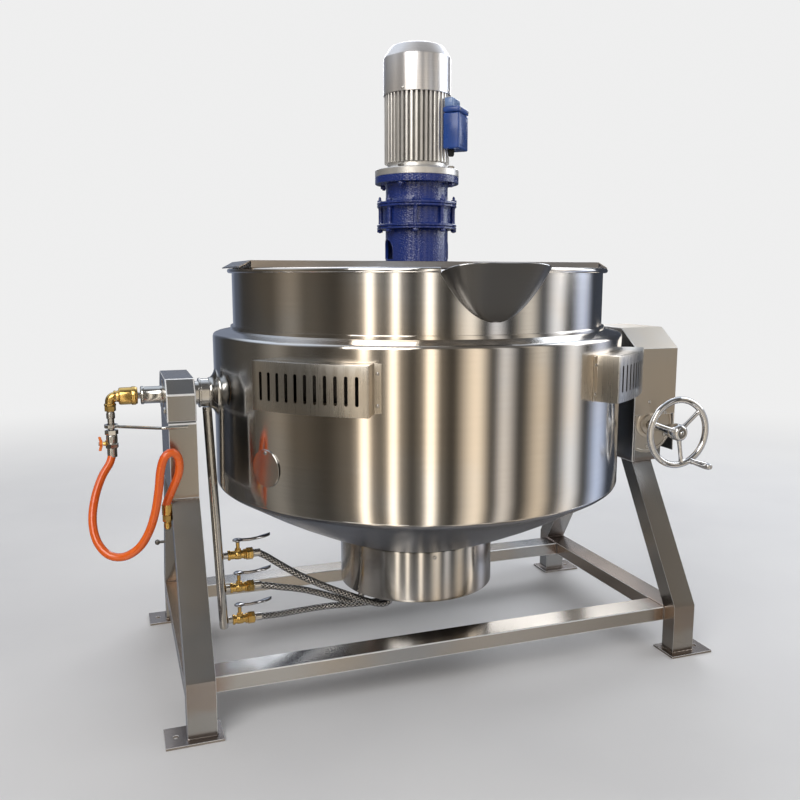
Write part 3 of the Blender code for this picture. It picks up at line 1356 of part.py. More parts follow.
def make_motor():
    """Flange with end bell, finned body, terminal box, fan cover and the rotor inside."""
    bore = ROTOR_SHAFT_R + RUN
    profile = (
        (bore, END_BELL_TOP), (END_BELL_R, END_BELL_TOP), (END_BELL_R, MOTOR_FLANGE_TOP),
        (MOTOR_FLANGE_R, MOTOR_FLANGE_TOP), (MOTOR_FLANGE_R, NECK_TOP + GAP),
        (bore, NECK_TOP + GAP),
    )
    motor = turned("motor_body", profile, ALUMINIUM, "tilt")

    outline = []
    for k in range(MOTOR_FINS):
        middle = 2 * math.pi * k / MOTOR_FINS
        for radius, side in ((MOTOR_CORE_R, -1), (MOTOR_R, -1), (MOTOR_R, 1), (MOTOR_CORE_R, 1)):
            angle = middle + side * FIN_THICK / 2 / radius
            outline.append((radius * math.cos(angle), radius * math.sin(angle)))
    low, high = END_BELL_TOP - RUN, MOTOR_TOP
    join(motor, prism("motor_fins", outline, (high - low) / 2, None, "tilt", at(z=(low + high) / 2)))
    start, end = (0, 0, low - RUN), (0, 0, high + OVERRUN)
    cut(motor, rod("stator_bore", start, end, ROTOR_R + RUN, None, "tilt", STEPS_TUBE))

    low = (-TERMINAL_WIDE / 2, -TERMINAL_OUT, TERMINAL_BOTTOM)
    high = (TERMINAL_WIDE / 2, -MOTOR_R - GAP, TERMINAL_TOP)
    placing = Matrix.Rotation(math.radians(TERMINAL_AZIMUTH), 4, "Z")
    box("terminal_box", low, high, BLUE, "tilt", placing)

    outer, sheet = FAN_COVER_R, FAN_COVER_SHEET
    dome = FAN_COVER_TOP - FAN_COVER_SHOULDER
    arc = []
    for k in range(STEPS_ARC):
        angle = math.pi / 2 * k / STEPS_ARC
        arc.append((math.cos(angle), math.sin(angle)))
    over = [(outer * c, FAN_COVER_SHOULDER + dome * s) for c, s in arc]
    inner, inner_dome = outer - sheet, dome - sheet
    under = [(inner * c, FAN_COVER_SHOULDER + inner_dome * s) for c, s in arc]
    profile = [(0, FAN_COVER_TOP)] + list(reversed(over))
    profile += [(outer, FAN_COVER_BOTTOM), (inner, FAN_COVER_BOTTOM)] + under
    profile.append((0, FAN_COVER_TOP - sheet))
    turned("fan_cover", profile, ALUMINIUM, "tilt", steps=STEPS_COVER)

    fan_foot = FAN_Z - FAN_BLADE_TALL / 2
    fan_head = FAN_Z + FAN_BLADE_TALL / 2
    profile = (
        (0, fan_head), (FAN_HUB_R, fan_head), (FAN_HUB_R, fan_foot), (ROTOR_SHAFT_R, fan_foot),
        (ROTOR_SHAFT_R, ROTOR_TOP), (ROTOR_R, ROTOR_TOP), (ROTOR_R, ROTOR_BOTTOM),
        (ROTOR_SHAFT_R, ROTOR_BOTTOM), (ROTOR_SHAFT_R, ROTOR_SHAFT_BOTTOM),
        (0, ROTOR_SHAFT_BOTTOM),
    )
    rotor = turned("motor_rotor", profile, DARK_STEEL, "rotor")
    inset = FAN_BLADE_THICK
    low = (FAN_HUB_R - inset, -FAN_BLADE_THICK / 2, fan_foot + inset)
    high = (FAN_R, FAN_BLADE_THICK / 2, fan_head - inset)
    for k in range(FAN_BLADES):
        placing = Matrix.Rotation(2 * math.pi * (k + 0.25) / FAN_BLADES, 4, "Z")
        join(rotor, box("fan_blade", low, high, None, "rotor", placing))


def make_stirrer():
    """Stirrer shaft, and the anchor with scrapers that follows the dished bottom."""
    rod(
        "stirrer_shaft", (0, 0, STIRRER_BOTTOM), (0, 0, STIRRER_SHAFT_TOP), STIRRER_SHAFT_R,
        STEEL, "stirrer", STEPS_TUBE,
    )
    outer_r = POT_IN - ANCHOR_CLEAR
    outer_dish = POT_DISH - POT_WALL - ANCHOR_CLEAR
    inner_r, inner_dish = outer_r - ANCHOR_BAR, outer_dish - ANCHOR_BAR
    angles = [math.pi * k / (2 * DISH_STEPS) for k in range(2 * DISH_STEPS + 1)]
    outline = [(outer_r, ANCHOR_TOP)]
    outline += [
        (outer_r * math.cos(a), POT_KNUCKLE_Z - outer_dish * math.sin(a)) for a in angles
    ]
    outline += [(-outer_r, ANCHOR_TOP), (-inner_r, ANCHOR_TOP)]
    outline += [
        (inner_r * math.cos(a), POT_KNUCKLE_Z - inner_dish * math.sin(a)) for a in reversed(angles)
    ]
    outline.append((inner_r, ANCHOR_TOP))
    anchor = prism(
        "stirrer_anchor", outline, ANCHOR_THICK / 2, STEEL, "stirrer", OUTLINE_XZ
    )
    foot = POT_KNUCKLE_Z - outer_dish + GAP
    start, end = (0, 0, foot), (0, 0, ANCHOR_HUB_TOP)
    join(anchor, rod("anchor_hub", start, end, ANCHOR_HUB_R, None, "stirrer", STEPS_TUBE))
    start, end = (0, 0, STIRRER_BOTTOM - GAP), (0, 0, ANCHOR_HUB_TOP + OVERRUN)
    bore = rod("hub_bore", start, end, STIRRER_SHAFT_R + GAP, None, "stirrer", STEPS_TUBE)
    cut(anchor, bore)

    half_long, half_thick = SCRAPER_LONG / 2, SCRAPER_THICK / 2
    for side in (-1, 1):
        for share in SCRAPER_ARM_SHARES:
            z = POT_KNUCKLE_Z + share * (ANCHOR_TOP - POT_KNUCKLE_Z)
            low = (outer_r - ANCHOR_THICK, -half_thick, z - half_long)
            high = (POT_IN - SCRAPER_CLEAR, half_thick, z + half_long)
            turn = Matrix.Rotation(0 if side > 0 else math.pi, 4, "Z")
            join(anchor, box("scraper", low, high, None, "stirrer", turn))
        angle = math.radians(SCRAPER_DISH_ANGLE)
        out = (outer_r * math.cos(angle), outer_dish * math.sin(angle))
        normal = Vector((out[0] / outer_r ** 2, 0, -out[1] / outer_dish ** 2)).normalized()
        tilt = math.atan2(-normal.z, normal.x)
        placing = (
            Matrix.Rotation(0 if side > 0 else math.pi, 4, "Z")
            @ at(out[0], 0, POT_KNUCKLE_Z - out[1])
            @ Matrix.Rotation(tilt, 4, "Y")
        )
        low = (-ANCHOR_THICK, -half_thick, -half_long)
        high = (ANCHOR_CLEAR * SCRAPER_DISH_SHARE, half_thick, half_long)
        join(anchor, box("scraper", low, high, None, "stirrer", placing))


def clear_scene():
    for obj in list(bpy.data.objects):
        bpy.data.objects.remove(obj)


def make_collections():
    for key, name in (("parts", "jacketed_tilting_kettle"), ("cutters", "cutters")):
        group = bpy.data.collections.new(name)
        bpy.context.scene.collection.children.link(group)
        COLLECTIONS[key] = group


def make_carriers():
    """One empty for each moving body, on its joint's axis."""
    carrier("root", (0, 0, 0))
    carrier("stand", (0, 0, 0), "root")
    carrier("tilt", (0, 0, TILT_Z), "root")
    carrier("stirrer", (0, 0, STIRRER_BOTTOM), "tilt")
    carrier("rotor", (0, 0, ROTOR_BOTTOM), "tilt")
    carrier("handwheel", (GEAR_X, 0, WORM_Z), "root")
    carrier("grip", grip_place(HANDWHEEL_Y), "handwheel")
    carrier("gas_cock", (-COCK_STEM_END_X, 0, COCK_STEM_Z), "root")
    carrier("port_cover", from_front(CASING_R, -PORT_AZIMUTH, PORT_PIVOT_Z), "tilt")
    for number, z in enumerate(VALVE_ZS, 1):
        carrier(f"valve_{number}", (-VALVE_STEM_X, 0, z), "tilt")


def centre_footprint():
    """Shift the whole kettle so that X = Y = 0 is the middle of its solid pieces."""
    bpy.context.view_layer.update()
    graph = bpy.context.evaluated_depsgraph_get()
    xs, ys = [], []
    for obj in COLLECTIONS["parts"].objects:
        if obj.type == "EMPTY" or "hose" in obj.name:
            continue
        mesh = obj.evaluated_get(graph).to_mesh()
        for vertex in mesh.vertices:
            place = obj.matrix_world @ vertex.co
            xs.append(place.x)
            ys.append(place.y)
    root = CARRIERS["root"][0]
    root.location = (-(min(xs) + max(xs)) / 2, -(min(ys) + max(ys)) / 2, 0)
    bpy.context.view_layer.update()


def main():
    clear_scene()
    make_collections()
    make_carriers()
    make_legs()
    make_rails()
    make_left_bearing()
    make_trunnion_bushes()
    make_right_bearing()
    make_gear_head()
    make_worm_bearing()
    make_gear_cover()
    make_gas_line()
    make_pot()
    make_jacket()
    make_casing()
    make_burner()
    make_spout()
    make_bridge()
    make_vents()
    make_port_cover()
    make_trunnions()
    make_worm_wheel()
    make_worm()
    make_handwheel()
    make_gas_manifold()
    make_valve_levers()
    make_burner_hoses()
    make_reducer()
    make_motor()
    make_stirrer()
    centre_footprint()


main()
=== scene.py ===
"""Looks of the gas-fired tilting jacketed kettle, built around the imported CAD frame.

All places are in the pot's own frame, in metres: pot axis at X = Y = 0, floor at Z = 0, spout
towards -Y. SHIFT moves them into the frame of the CAD.
"""
import math

import bmesh
import bpy
from mathutils import Matrix, Vector


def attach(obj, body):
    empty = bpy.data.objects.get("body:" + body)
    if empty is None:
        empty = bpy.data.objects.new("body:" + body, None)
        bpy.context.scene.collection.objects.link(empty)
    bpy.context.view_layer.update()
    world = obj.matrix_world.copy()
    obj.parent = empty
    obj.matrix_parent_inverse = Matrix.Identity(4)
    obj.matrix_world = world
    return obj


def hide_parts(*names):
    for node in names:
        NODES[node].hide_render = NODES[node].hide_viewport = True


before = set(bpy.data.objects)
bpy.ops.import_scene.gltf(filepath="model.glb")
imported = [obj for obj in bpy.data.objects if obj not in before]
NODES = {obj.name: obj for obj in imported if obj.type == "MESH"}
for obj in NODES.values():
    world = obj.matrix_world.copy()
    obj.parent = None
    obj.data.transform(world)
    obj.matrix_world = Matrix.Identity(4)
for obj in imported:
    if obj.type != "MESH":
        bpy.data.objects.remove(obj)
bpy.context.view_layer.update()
SHIFT = Matrix.Translation((0.04365, 0.00589, 0.0))
UP = Matrix.Identity(4)
TILT_Z = 0.742
POT_R = 0.500
CASING_R = 0.554
BRIDGE_TOP = 1.0768
LEG_X = 0.652
CAMERA_PLACE = (-0.76145, -2.14571, 1.0386)
CAMERA_DOWN, CAMERA_TURN = 8.56, -19.38
LENS, SENSOR = 37.05, 36.0


def linked(name, data):
    obj = bpy.data.objects.new(name, data)
    bpy.context.scene.collection.objects.link(obj)
    return obj


def make_camera():
    data = bpy.data.cameras.new("camera")
    data.lens = LENS
    data.sensor_width = SENSOR
    cam = linked("camera", data)
    cam.location = CAMERA_PLACE
    cam.rotation_euler = (math.radians(90 - CAMERA_DOWN), 0, math.radians(CAMERA_TURN))
    bpy.context.scene.camera = cam


make_camera()


# Mesh helpers
def about(angle, axis="Z"):
    return Matrix.Rotation(math.radians(angle), 4, axis)


def at(x=0.0, y=0.0, z=0.0):
    return Matrix.Translation((x, y, z))


ALONG_X = about(90, "Y")
ALONG_MINUS_X = about(-90, "Y")
ALONG_MINUS_Y = about(90, "X")


def mm(*numbers, size=2, lift=0.0):
    """Points in metres from a flat row of millimetres; lift is added to each last value."""
    out = []
    for k in range(0, len(numbers), size):
        point = [value / 1000 for value in numbers[k:k + size]]
        point[-1] += lift
        out.append(tuple(point))
    return out


def front(radius, degrees, z=0.0):
    """Point at an angle from -Y towards +X."""
    a = math.radians(degrees)
    return Vector((radius * math.sin(a), -radius * math.cos(a), z))


def arc(cx, cy, radius, start, end, steps):
    """Points on an arc, angles from the first direction towards the second."""
    angles = [math.radians(start + (end - start) * k / steps) for k in range(steps + 1)]
    return [(cx + radius * math.cos(a), cy + radius * math.sin(a)) for a in angles]


def shade(obj, sharp):
    obj.data.shade_smooth()
    obj.data.set_sharp_from_angle(angle=math.radians(sharp))


def mesh_object(name, bm, sharp=32.0):
    bmesh.ops.recalc_face_normals(bm, faces=bm.faces)
    data = bpy.data.meshes.new(name)
    bm.to_mesh(data)
    bm.free()
    obj = linked(name, data)
    shade(obj, sharp)
    return obj


def from_faces(name, verts, faces, sharp=32.0):
    bm = bmesh.new()
    made = [bm.verts.new(SHIFT @ Vector(v)) for v in verts]
    for face in faces:
        loop = list(dict.fromkeys(made[i] for i in face))
        if len(loop) > 2:
            bm.faces.new(loop)
    return mesh_object(name, bm, sharp)


def quads(rows, n, loop=True, start=0):
    """Faces between rows of n points each, closed round each row where loop is set."""
    faces = []
    for row in range(rows - 1):
        low, high = start + row * n, start + (row + 1) * n
        for k in range(n if loop else n - 1):
            j = (k + 1) % n
            faces.append((low + k, low + j, high + j, high + k))
    return faces


def caps(rows, n):
    return [tuple(range(n)), tuple(range((rows - 1) * n, rows * n))]


def turned(name, profile, placing=UP, steps=96, closed=False, sharp=32.0):
    """Profile of (r, z) turned about local Z; points on the axis become one vertex."""
    bm = bmesh.new()
    rings = []
    for r, z in profile:
        if r < 1e-6:
            rings.append([bm.verts.new((0, 0, z))] * steps)
            continue
        angles = [2 * math.pi * k / steps for k in range(steps)]
        rings.append([bm.verts.new((r * math.cos(a), r * math.sin(a), z)) for a in angles])
    if closed:
        rings.append(rings[0])
    for low, high in zip(rings, rings[1:]):
        for k in range(steps):
            j = (k + 1) % steps
            loop = list(dict.fromkeys((low[k], low[j], high[j], high[k])))
            if len(loop) > 2:
                bm.faces.new(loop)
    bmesh.ops.transform(bm, matrix=SHIFT @ placing, verts=bm.verts)
    return mesh_object(name, bm, sharp)


def sweep(name, points, radius, steps=16, closed=False, sharp=50.0):
    """A round tube along points with UVs in metres; radius is a number or one for each point."""
    pts = [Vector(p) for p in points]
    n = len(pts)
    radii = [radius] * n if isinstance(radius, (int, float)) else list(radius)
    bm = bmesh.new()
    uv = bm.loops.layers.uv.new("tube")
    if closed:
        tangents = [(pts[(i + 1) % n] - pts[i - 1]).normalized() for i in range(n)]
        side = tangents[0].cross(sum(pts, Vector()) / n - pts[0]).normalized()
    else:
        tangents = [
            (pts[min(i + 1, n - 1)] - pts[max(i - 1, 0)]).normalized() for i in range(n)
        ]
        side = tangents[0].orthogonal().normalized()
    angles = [2 * math.pi * k / steps for k in range(steps)]
    rings, along, far = [], [], 0.0
    for i in range(n):
        side = (side - tangents[i] * side.dot(tangents[i])).normalized()
        up = tangents[i].cross(side)
        rings.append([
            bm.verts.new(pts[i] + (side * math.cos(a) + up * math.sin(a)) * radii[i])
            for a in angles
        ])
        if i:
            far += (pts[i] - pts[i - 1]).length
        along.append(far)
    along.append(far + (pts[0] - pts[-1]).length)
    girth = 2 * math.pi * radii[n // 2]
    for i in range(n if closed else n - 1):
        a, b = rings[i], rings[(i + 1) % n]
        for k in range(steps):
            j = (k + 1) % steps
            face = bm.faces.new((a[k], a[j], b[j], b[k]))
            corners = ((i, k), (i, k + 1), (i + 1, k + 1), (i + 1, k))
            for loop, (u, v) in zip(face.loops, corners):
                loop[uv].uv = (along[u], v * girth / steps)
    if not closed:
        bm.faces.new(rings[0])
        bm.faces.new(rings[-1])
    bmesh.ops.transform(bm, matrix=SHIFT, verts=bm.verts)
    return mesh_object(name, bm, sharp)


def smooth(route, step):
    """Points a step apart along a Catmull-Rom curve, as the CAD's hoses have it."""
    pts = [Vector(p) for p in route]
    ends = [pts[0] * 2 - pts[1]] + pts + [pts[-1] * 2 - pts[-2]]
    fine = []
    for a, b, c, d in zip(ends, ends[1:], ends[2:], ends[3:]):
        for k in range(16):
            t = k / 16
            fine.append(0.5 * (
                2 * b + (c - a) * t + (2 * a - 5 * b + 4 * c - d) * t * t
                + (3 * b - a - 3 * c + d) * t ** 3
            ))
    fine.append(pts[-1])
    total = sum((q - p).length for p, q in zip(fine, fine[1:]))
    count = max(2, round(total / step))
    out, want, run = [fine[0]], total / count, 0.0
    for p, q in zip(fine, fine[1:]):
        length = (q - p).length
        while run + length >= want - 1e-9 and len(out) < count:
            out.append(p.lerp(q, (want - run) / max(length, 1e-9)))
            run -= want
        run += length
    out.append(fine[-1])
    return out, total


def block(name, low, high, bevel=0.0015, placing=UP, segments=2):
    bm = bmesh.new()
    bmesh.ops.create_cube(bm, size=1.0)
    for v in bm.verts:
        v.co = Vector((a + (c + 0.5) * (b - a) for a, b, c in zip(low, high, v.co)))
    if bevel:
        bmesh.ops.bevel(
            bm, geom=bm.edges[:], offset=bevel, segments=segments, affect="EDGES", profile=0.5)
    bmesh.ops.transform(bm, matrix=SHIFT @ placing, verts=bm.verts)
    return mesh_object(name, bm, 40)


def slab(name, outline, low, high, placing=UP, bevel=0.0):
    """A flat outline of (x, y) points between two heights, with bevelled rims."""
    bm = bmesh.new()
    face = bm.faces.new([bm.verts.new((x, y, low)) for x, y in outline])
    made = bmesh.ops.extrude_face_region(bm, geom=[face])
    top = [v for v in made["geom"] if isinstance(v, bmesh.types.BMVert)]
    bmesh.ops.translate(bm, vec=(0, 0, high - low), verts=top)
    bmesh.ops.recalc_face_normals(bm, faces=bm.faces)
    if bevel:
        rims = [e for e in bm.edges if abs(e.verts[0].co.z - e.verts[1].co.z) < 1e-7]
        bmesh.ops.bevel(bm, geom=rims, offset=bevel, segments=2, affect="EDGES", profile=0.5)
    bmesh.ops.transform(bm, matrix=SHIFT @ placing, verts=bm.verts)
    return mesh_object(name, bm, 40)


def pegs(name, spots, radius_low, radius_high, depth):
    """Short ten-sided pegs at (x, y, z) spots in one mesh."""
    bm = bmesh.new()
    for spot in spots:
        made = bmesh.ops.create_cone(
            bm, cap_ends=True, segments=10, radius1=radius_low, radius2=radius_high, depth=depth)
        bmesh.ops.translate(bm, vec=spot, verts=made["verts"])
    bmesh.ops.transform(bm, matrix=SHIFT, verts=bm.verts)
    return mesh_object(name, bm)


def baked(obj):
    """The object's mesh with its modifiers applied."""
    deps = bpy.context.evaluated_depsgraph_get()
    data = bpy.data.meshes.new_from_object(obj.evaluated_get(deps))
    old = obj.data
    obj.modifiers.clear()
    obj.data = data
    bpy.data.meshes.remove(old)
    return obj


def thickened(obj, thickness):
    mod = obj.modifiers.new("solid", "SOLIDIFY")
    mod.thickness = thickness
    mod.offset = 1
    return mod


def bevelled(obj, width, segments, limit):
    mod = obj.modifiers.new("bevel", "BEVEL")
    mod.width = width
    mod.segments = segments
    mod.limit_method = "ANGLE"
    mod.angle_limit = math.radians(limit)
    return mod


def cut(obj, *cutters):
    for cutter in cutters:
        mod = obj.modifiers.new("cut", "BOOLEAN")
        mod.operation = "DIFFERENCE"
        mod.solver = "EXACT"
        mod.object = cutter
    baked(obj)
    for cutter in cutters:
        bpy.data.objects.remove(cutter)
    shade(obj, 32)
    return obj


def wear(obj, *materials):
    obj.data.materials.clear()
    for material in materials:
        obj.data.materials.append(material.m)


def put(obj, body, material, slot, nodes=()):
    """Gives a piece its material, body and the CAD nodes it stands for; its slot is not used."""
    wear(obj, material)
    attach(obj, body)
    if nodes:
        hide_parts(*nodes)
    return obj


def add_material(obj, material, chosen):
    """A second material on the faces that are chosen."""
    obj.data.materials.append(material.m)
    for face in obj.data.polygons:
        face.material_index = int(chosen(face))


def lathe(look, name, profile, placing=UP, steps=48, sharp=32.0, closed=False, nodes=()):
    return put(turned(name, profile, placing, steps, closed, sharp), *look, nodes)


def tube(look, name, points, radius, steps=8, closed=False, sharp=50.0, nodes=()):
    return put(sweep(name, points, radius, steps, closed, sharp), *look, nodes)


def brick(look, name, low, high, bevel, placing, segments=3, nodes=()):
    return put(block(name, low, high, bevel, placing, segments), *look, nodes)


def nut(look, name, radius, turn, low, high, placing, bevel=0.0008, nodes=()):
    """A hexagon between two heights."""
    corners = [math.radians(60 * k + turn) for k in range(6)]
    outline = [(radius * math.cos(a), radius * math.sin(a)) for a in corners]
    return put(slab(name, outline, low, high, placing, bevel), *look, nodes)


def dress(node, material, bevel, segments, edge=None):
    """A CAD node keeps its shape, with softened edges and its own material; its bevels wear the edge
    material, a bright painted highlight where one is given.
    """
    obj = NODES[node]
    wear(obj, material, edge or material)
    weld = obj.modifiers.new("weld", "WELD")
    weld.merge_threshold = 0.00002
    bevelled(obj, bevel, segments, 38).material = 1


# Materials
class Mat:
    """Builds a procedural Principled material, or the world, node by node."""

    def __init__(self, name, color, rough, metal, coords="Object"):
        self.m = bpy.data.materials.new(name)
        self.m.use_nodes = True
        self.n = self.m.node_tree.nodes
        self.l = self.m.node_tree.links
        self.b = self.n["Principled BSDF"]
        self.b.inputs["Base Color"].default_value = (*color, 1)
        self.b.inputs["Roughness"].default_value = rough
        self.b.inputs["Metallic"].default_value = metal
        self.co = self.add("ShaderNodeTexCoord").outputs[coords]
        self.height = None

    def add(self, kind, **values):
        node = self.n.new(kind)
        for key, value in values.items():
            setattr(node, key, value)
        return node

    def feed(self, socket, value):
        """A link, a colour or a number into a socket."""
        if hasattr(value, "links"):
            self.l.new(value, socket)
        elif isinstance(value, tuple):
            socket.default_value = (*value, 1)
        else:
            socket.default_value = value

    def math(self, op, a, b=None, clamp=False):
        node = self.add("ShaderNodeMath", operation=op, use_clamp=clamp)
        self.feed(node.inputs[0], a)
        if b is not None:
            self.feed(node.inputs[1], b)
        return node.outputs[0]

    def off(self, value, middle, times):
        """How far a value is from its middle, times a number."""
        return self.math("MULTIPLY", self.math("SUBTRACT", value, middle), times)

    def noise(self, scale, stretch=(1, 1, 1), detail=3.0, rough=0.5):
        mapping = self.add("ShaderNodeMapping")
        mapping.inputs["Scale"].default_value = stretch
        self.feed(mapping.inputs["Vector"], self.co)
        node = self.add("ShaderNodeTexNoise")
        node.inputs["Scale"].default_value = scale
        node.inputs["Detail"].default_value = detail
        node.inputs["Roughness"].default_value = rough
        self.feed(node.inputs["Vector"], mapping.outputs[0])
        return node.outputs["Fac"]

    def ramp(self, fac, stops, blend):
        node = self.add("ShaderNodeValToRGB")
        node.color_ramp.interpolation = blend
        elements = node.color_ramp.elements
        for element, (pos, color) in zip(list(elements), (stops[0], stops[-1])):
            element.position = pos
            element.color = (*color, 1)
        for pos, color in stops[1:-1]:
            elements.new(pos).color = (*color, 1)
        self.feed(node.inputs[0], fac)
        return node.outputs[0]

    def span(self, value, low, high, to_low=0.0, to_high=1.0):
        node = self.add("ShaderNodeMapRange", interpolation_type="SMOOTHSTEP")
        ends = (("From Min", low), ("From Max", high), ("To Min", to_low), ("To Max", to_high))
        for key, number in ends:
            node.inputs[key].default_value = number
        self.feed(node.inputs["Value"], value)
        return node.outputs[0]

    def xyz(self, source=None):
        node = self.add("ShaderNodeSeparateXYZ")
        self.feed(node.inputs[0], source or self.co)
        return node.outputs

    def mix(self, fac, a, b, kind="MIX"):
        node = self.add("ShaderNodeMix", data_type="RGBA", blend_type=kind)
        for i, value in ((0, fac), (6, a), (7, b)):
            self.feed(node.inputs[i], value)
        return node.outputs[2]

    def bump(self, height, strength, distance=0.001):
        node = self.add("ShaderNodeBump")
        node.inputs["Strength"].default_value = strength
        node.inputs["Distance"].default_value = distance
        self.feed(node.inputs["Height"], height)
        if self.height is not None:
            self.feed(node.inputs["Normal"], self.height)
        self.height = node.outputs[0]
        self.set("Normal", self.height)

    def set(self, key, value):
        self.feed(self.b.inputs[key], value)


def steel(name, color, rough, brush, aniso=0.0, grain=0.04, spread=0.05, relief=0.02):
    """Brushed stainless: fine lines along one way, smudges, faint warm and cool clouds.

    With aniso, it is sheet brushed round the pot's axis, so that reflections run up and down.
    """
    m = Mat(name, color, rough, 1.0)
    lines = m.noise(1.0, brush, 4, 0.62)
    clouds = m.noise(2.6)
    smudge = m.noise(14.0, detail=4, rough=0.6)
    cool = tuple(c * s for c, s in zip(color, (0.95, 0.99, 1.05)))
    warm = tuple(c * s for c, s in zip(color, (1.03, 0.97, 0.90)))
    tone = m.mix(m.span(clouds, 0.38, 0.62), cool, warm)
    lined = m.span(lines, 0.3, 0.7, 1.0 - grain, 1.0)
    grey = m.add("ShaderNodeCombineColor")
    for i in range(3):
        m.feed(grey.inputs[i], lined)
    m.set("Base Color", m.mix(1.0, tone, grey.outputs[0], "MULTIPLY"))
    uneven = m.math("ADD", m.off(smudge, 0.5, spread), m.off(lines, 0.5, spread * 1.4))
    m.set("Roughness", m.math("ADD", uneven, rough, True))
    m.bump(lines, relief, 0.0004)
    if aniso:
        m.set("Anisotropic", aniso)
        node = m.add("ShaderNodeTangent", direction_type="RADIAL", axis="Z")
        m.set("Tangent", node.outputs[0])
        m.set("Anisotropic Rotation", 0.25)
    return m


def radial_steel(name, color, rough, aniso=0.9):
    return steel(name, color, rough, (4, 4, 900), aniso, 0.07, 0.02, 0.04)


def paint(name, color, rough, relief=0.05, scale=300.0, coat=0.3, dark=0.6):
    """Thick enamel with a hammered skin and darker clouds at random."""
    m = Mat(name, color, rough, 0.0)
    cells = m.add("ShaderNodeTexVoronoi", feature="SMOOTH_F1")
    cells.inputs["Scale"].default_value = scale
    m.feed(cells.inputs["Vector"], m.co)
    clouds = m.span(m.noise(9.0, detail=4), 0.35, 0.7)
    m.set("Base Color", m.mix(clouds, color, tuple(c * dark for c in color)))
    m.set("Roughness", m.span(m.noise(30.0), 0.3, 0.7, rough * 0.8, rough * 1.25))
    m.set("Coat Weight", coat)
    m.set("Coat Roughness", 0.12)
    m.bump(cells.outputs["Distance"], relief, 0.0022)
    return m


def plate_metal(name, color, rough, scale=60.0, relief=0.05, spread=0.12, metal=1.0):
    """Turned or plated metal: faint tool marks and cloudy roughness."""
    m = Mat(name, color, rough, metal)
    clouds = m.noise(scale, detail=4)
    marks = m.noise(scale * 14, detail=2)
    m.set("Base Color", m.mix(m.span(clouds, 0.3, 0.75), color, tuple(c * 0.92 for c in color)))
    m.set("Roughness", m.math("ADD", m.off(clouds, 0.5, spread), rough, True))
    m.bump(marks, relief, 0.0003)
    return m


def matt(name, color, rough, scale, relief):
    m = Mat(name, color, rough, 0.0)
    m.bump(m.noise(scale), relief)
    return m


POT = radial_steel("pot_steel_brushed", (0.80, 0.775, 0.745), 0.135)
CASE = radial_steel("casing_steel_brushed", (0.78, 0.75, 0.71), 0.14)
LOW_CASE = radial_steel("burner_housing_brushed", (0.60, 0.565, 0.52), 0.15)
# much darker copy of the casing steel for the downward cone: painted shade
CONE_SHADED = radial_steel("cone_steel_painted_shade", (0.25, 0.25, 0.262), 0.24)
POT_INSIDE = radial_steel("pot_inside_brushed", (0.70, 0.69, 0.67), 0.30)
SHEET = steel(
    "sheet_steel_brushed", (0.60, 0.57, 0.52), 0.28, (900, 900, 6), grain=0.03, relief=0.006)
BRIDGE = steel("bridge_steel_brushed", (0.42, 0.40, 0.39), 0.30, (3, 900, 900))
# very dark copy of the pot steel for the spout: painted shade
SPOUT_SHADED = steel("spout_steel_painted_shade", (0.155, 0.15, 0.145), 0.34, (4, 4, 700))
COVER = steel("cover_steel_brushed", (0.62, 0.58, 0.52), 0.32, (900, 900, 4))
PIPE = plate_metal("turned_stainless", (0.60, 0.59, 0.57), 0.16, 25, 0.03, 0.05)
DARK = plate_metal("dark_turned_steel", (0.20, 0.19, 0.18), 0.34, 25)
CHROME = plate_metal("chrome_plate", (0.78, 0.78, 0.79), 0.06, 18, 0.01, 0.04)
DARK_CHROME = plate_metal("dark_chrome_plate", (0.42, 0.42, 0.44), 0.08, 18, 0.01, 0.04)
BRASS = plate_metal("turned_brass", (0.78, 0.52, 0.17), 0.19, 50, 0.04, 0.08)
BRONZE = plate_metal("cast_bronze", (0.50, 0.33, 0.15), 0.38, 50, 0.2)
SCREW = plate_metal("screw_steel", (0.62, 0.61, 0.60), 0.24, 200)
IRON = plate_metal("burner_cast_iron", (0.10, 0.095, 0.09), 0.60, 90, 0.5)
BLUE = paint("blue_hammered_enamel", (0.014, 0.036, 0.215), 0.20, 0.8, 270.0, 0.6, 0.75)
BLUE_BOX = paint("blue_box_enamel", (0.025, 0.085, 0.36), 0.30)
BLUE_LIGHT = paint("light_blue_enamel", (0.20, 0.31, 0.56), 0.30)
SILVER = plate_metal("motor_cast_aluminium", (0.78, 0.76, 0.73), 0.34, 40, 0.05, 0.05, 0.72)
# dark copy of the motor aluminium for the grooves between the fins: painted shade
GROOVE_SHADE = plate_metal("motor_fin_groove_shade", (0.16, 0.155, 0.15), 0.40, 40, 0.05, 0.05)
SPUN = radial_steel("fan_cover_spun_aluminium", (0.84, 0.84, 0.86), 0.30, 0.6)
SPUN.set("Metallic", 0.75)
# near-white material for the bevels along edges: painted highlight
EDGE_HIGHLIGHT = plate_metal("painted_edge_highlight", (0.95, 0.95, 0.95), 0.22, 60, 0.01, 0.04, 0.35)
ORANGE = paint("orange_enamel", (0.88, 0.20, 0.02), 0.30, coat=0.4, dark=0.85)
# near-black matt for the strips behind the vent slots: painted shade
SLOT_SHADE = matt("slot_painted_shade", (0.010, 0.0095, 0.009), 0.85, 160.0, 0.3)
BLACK = matt("dark_inside", (0.012, 0.012, 0.012), 0.9, 120.0, 0.2)
PLASTIC = matt("scraper_plastic", (0.82, 0.82, 0.79), 0.42, 90.0, 0.1)


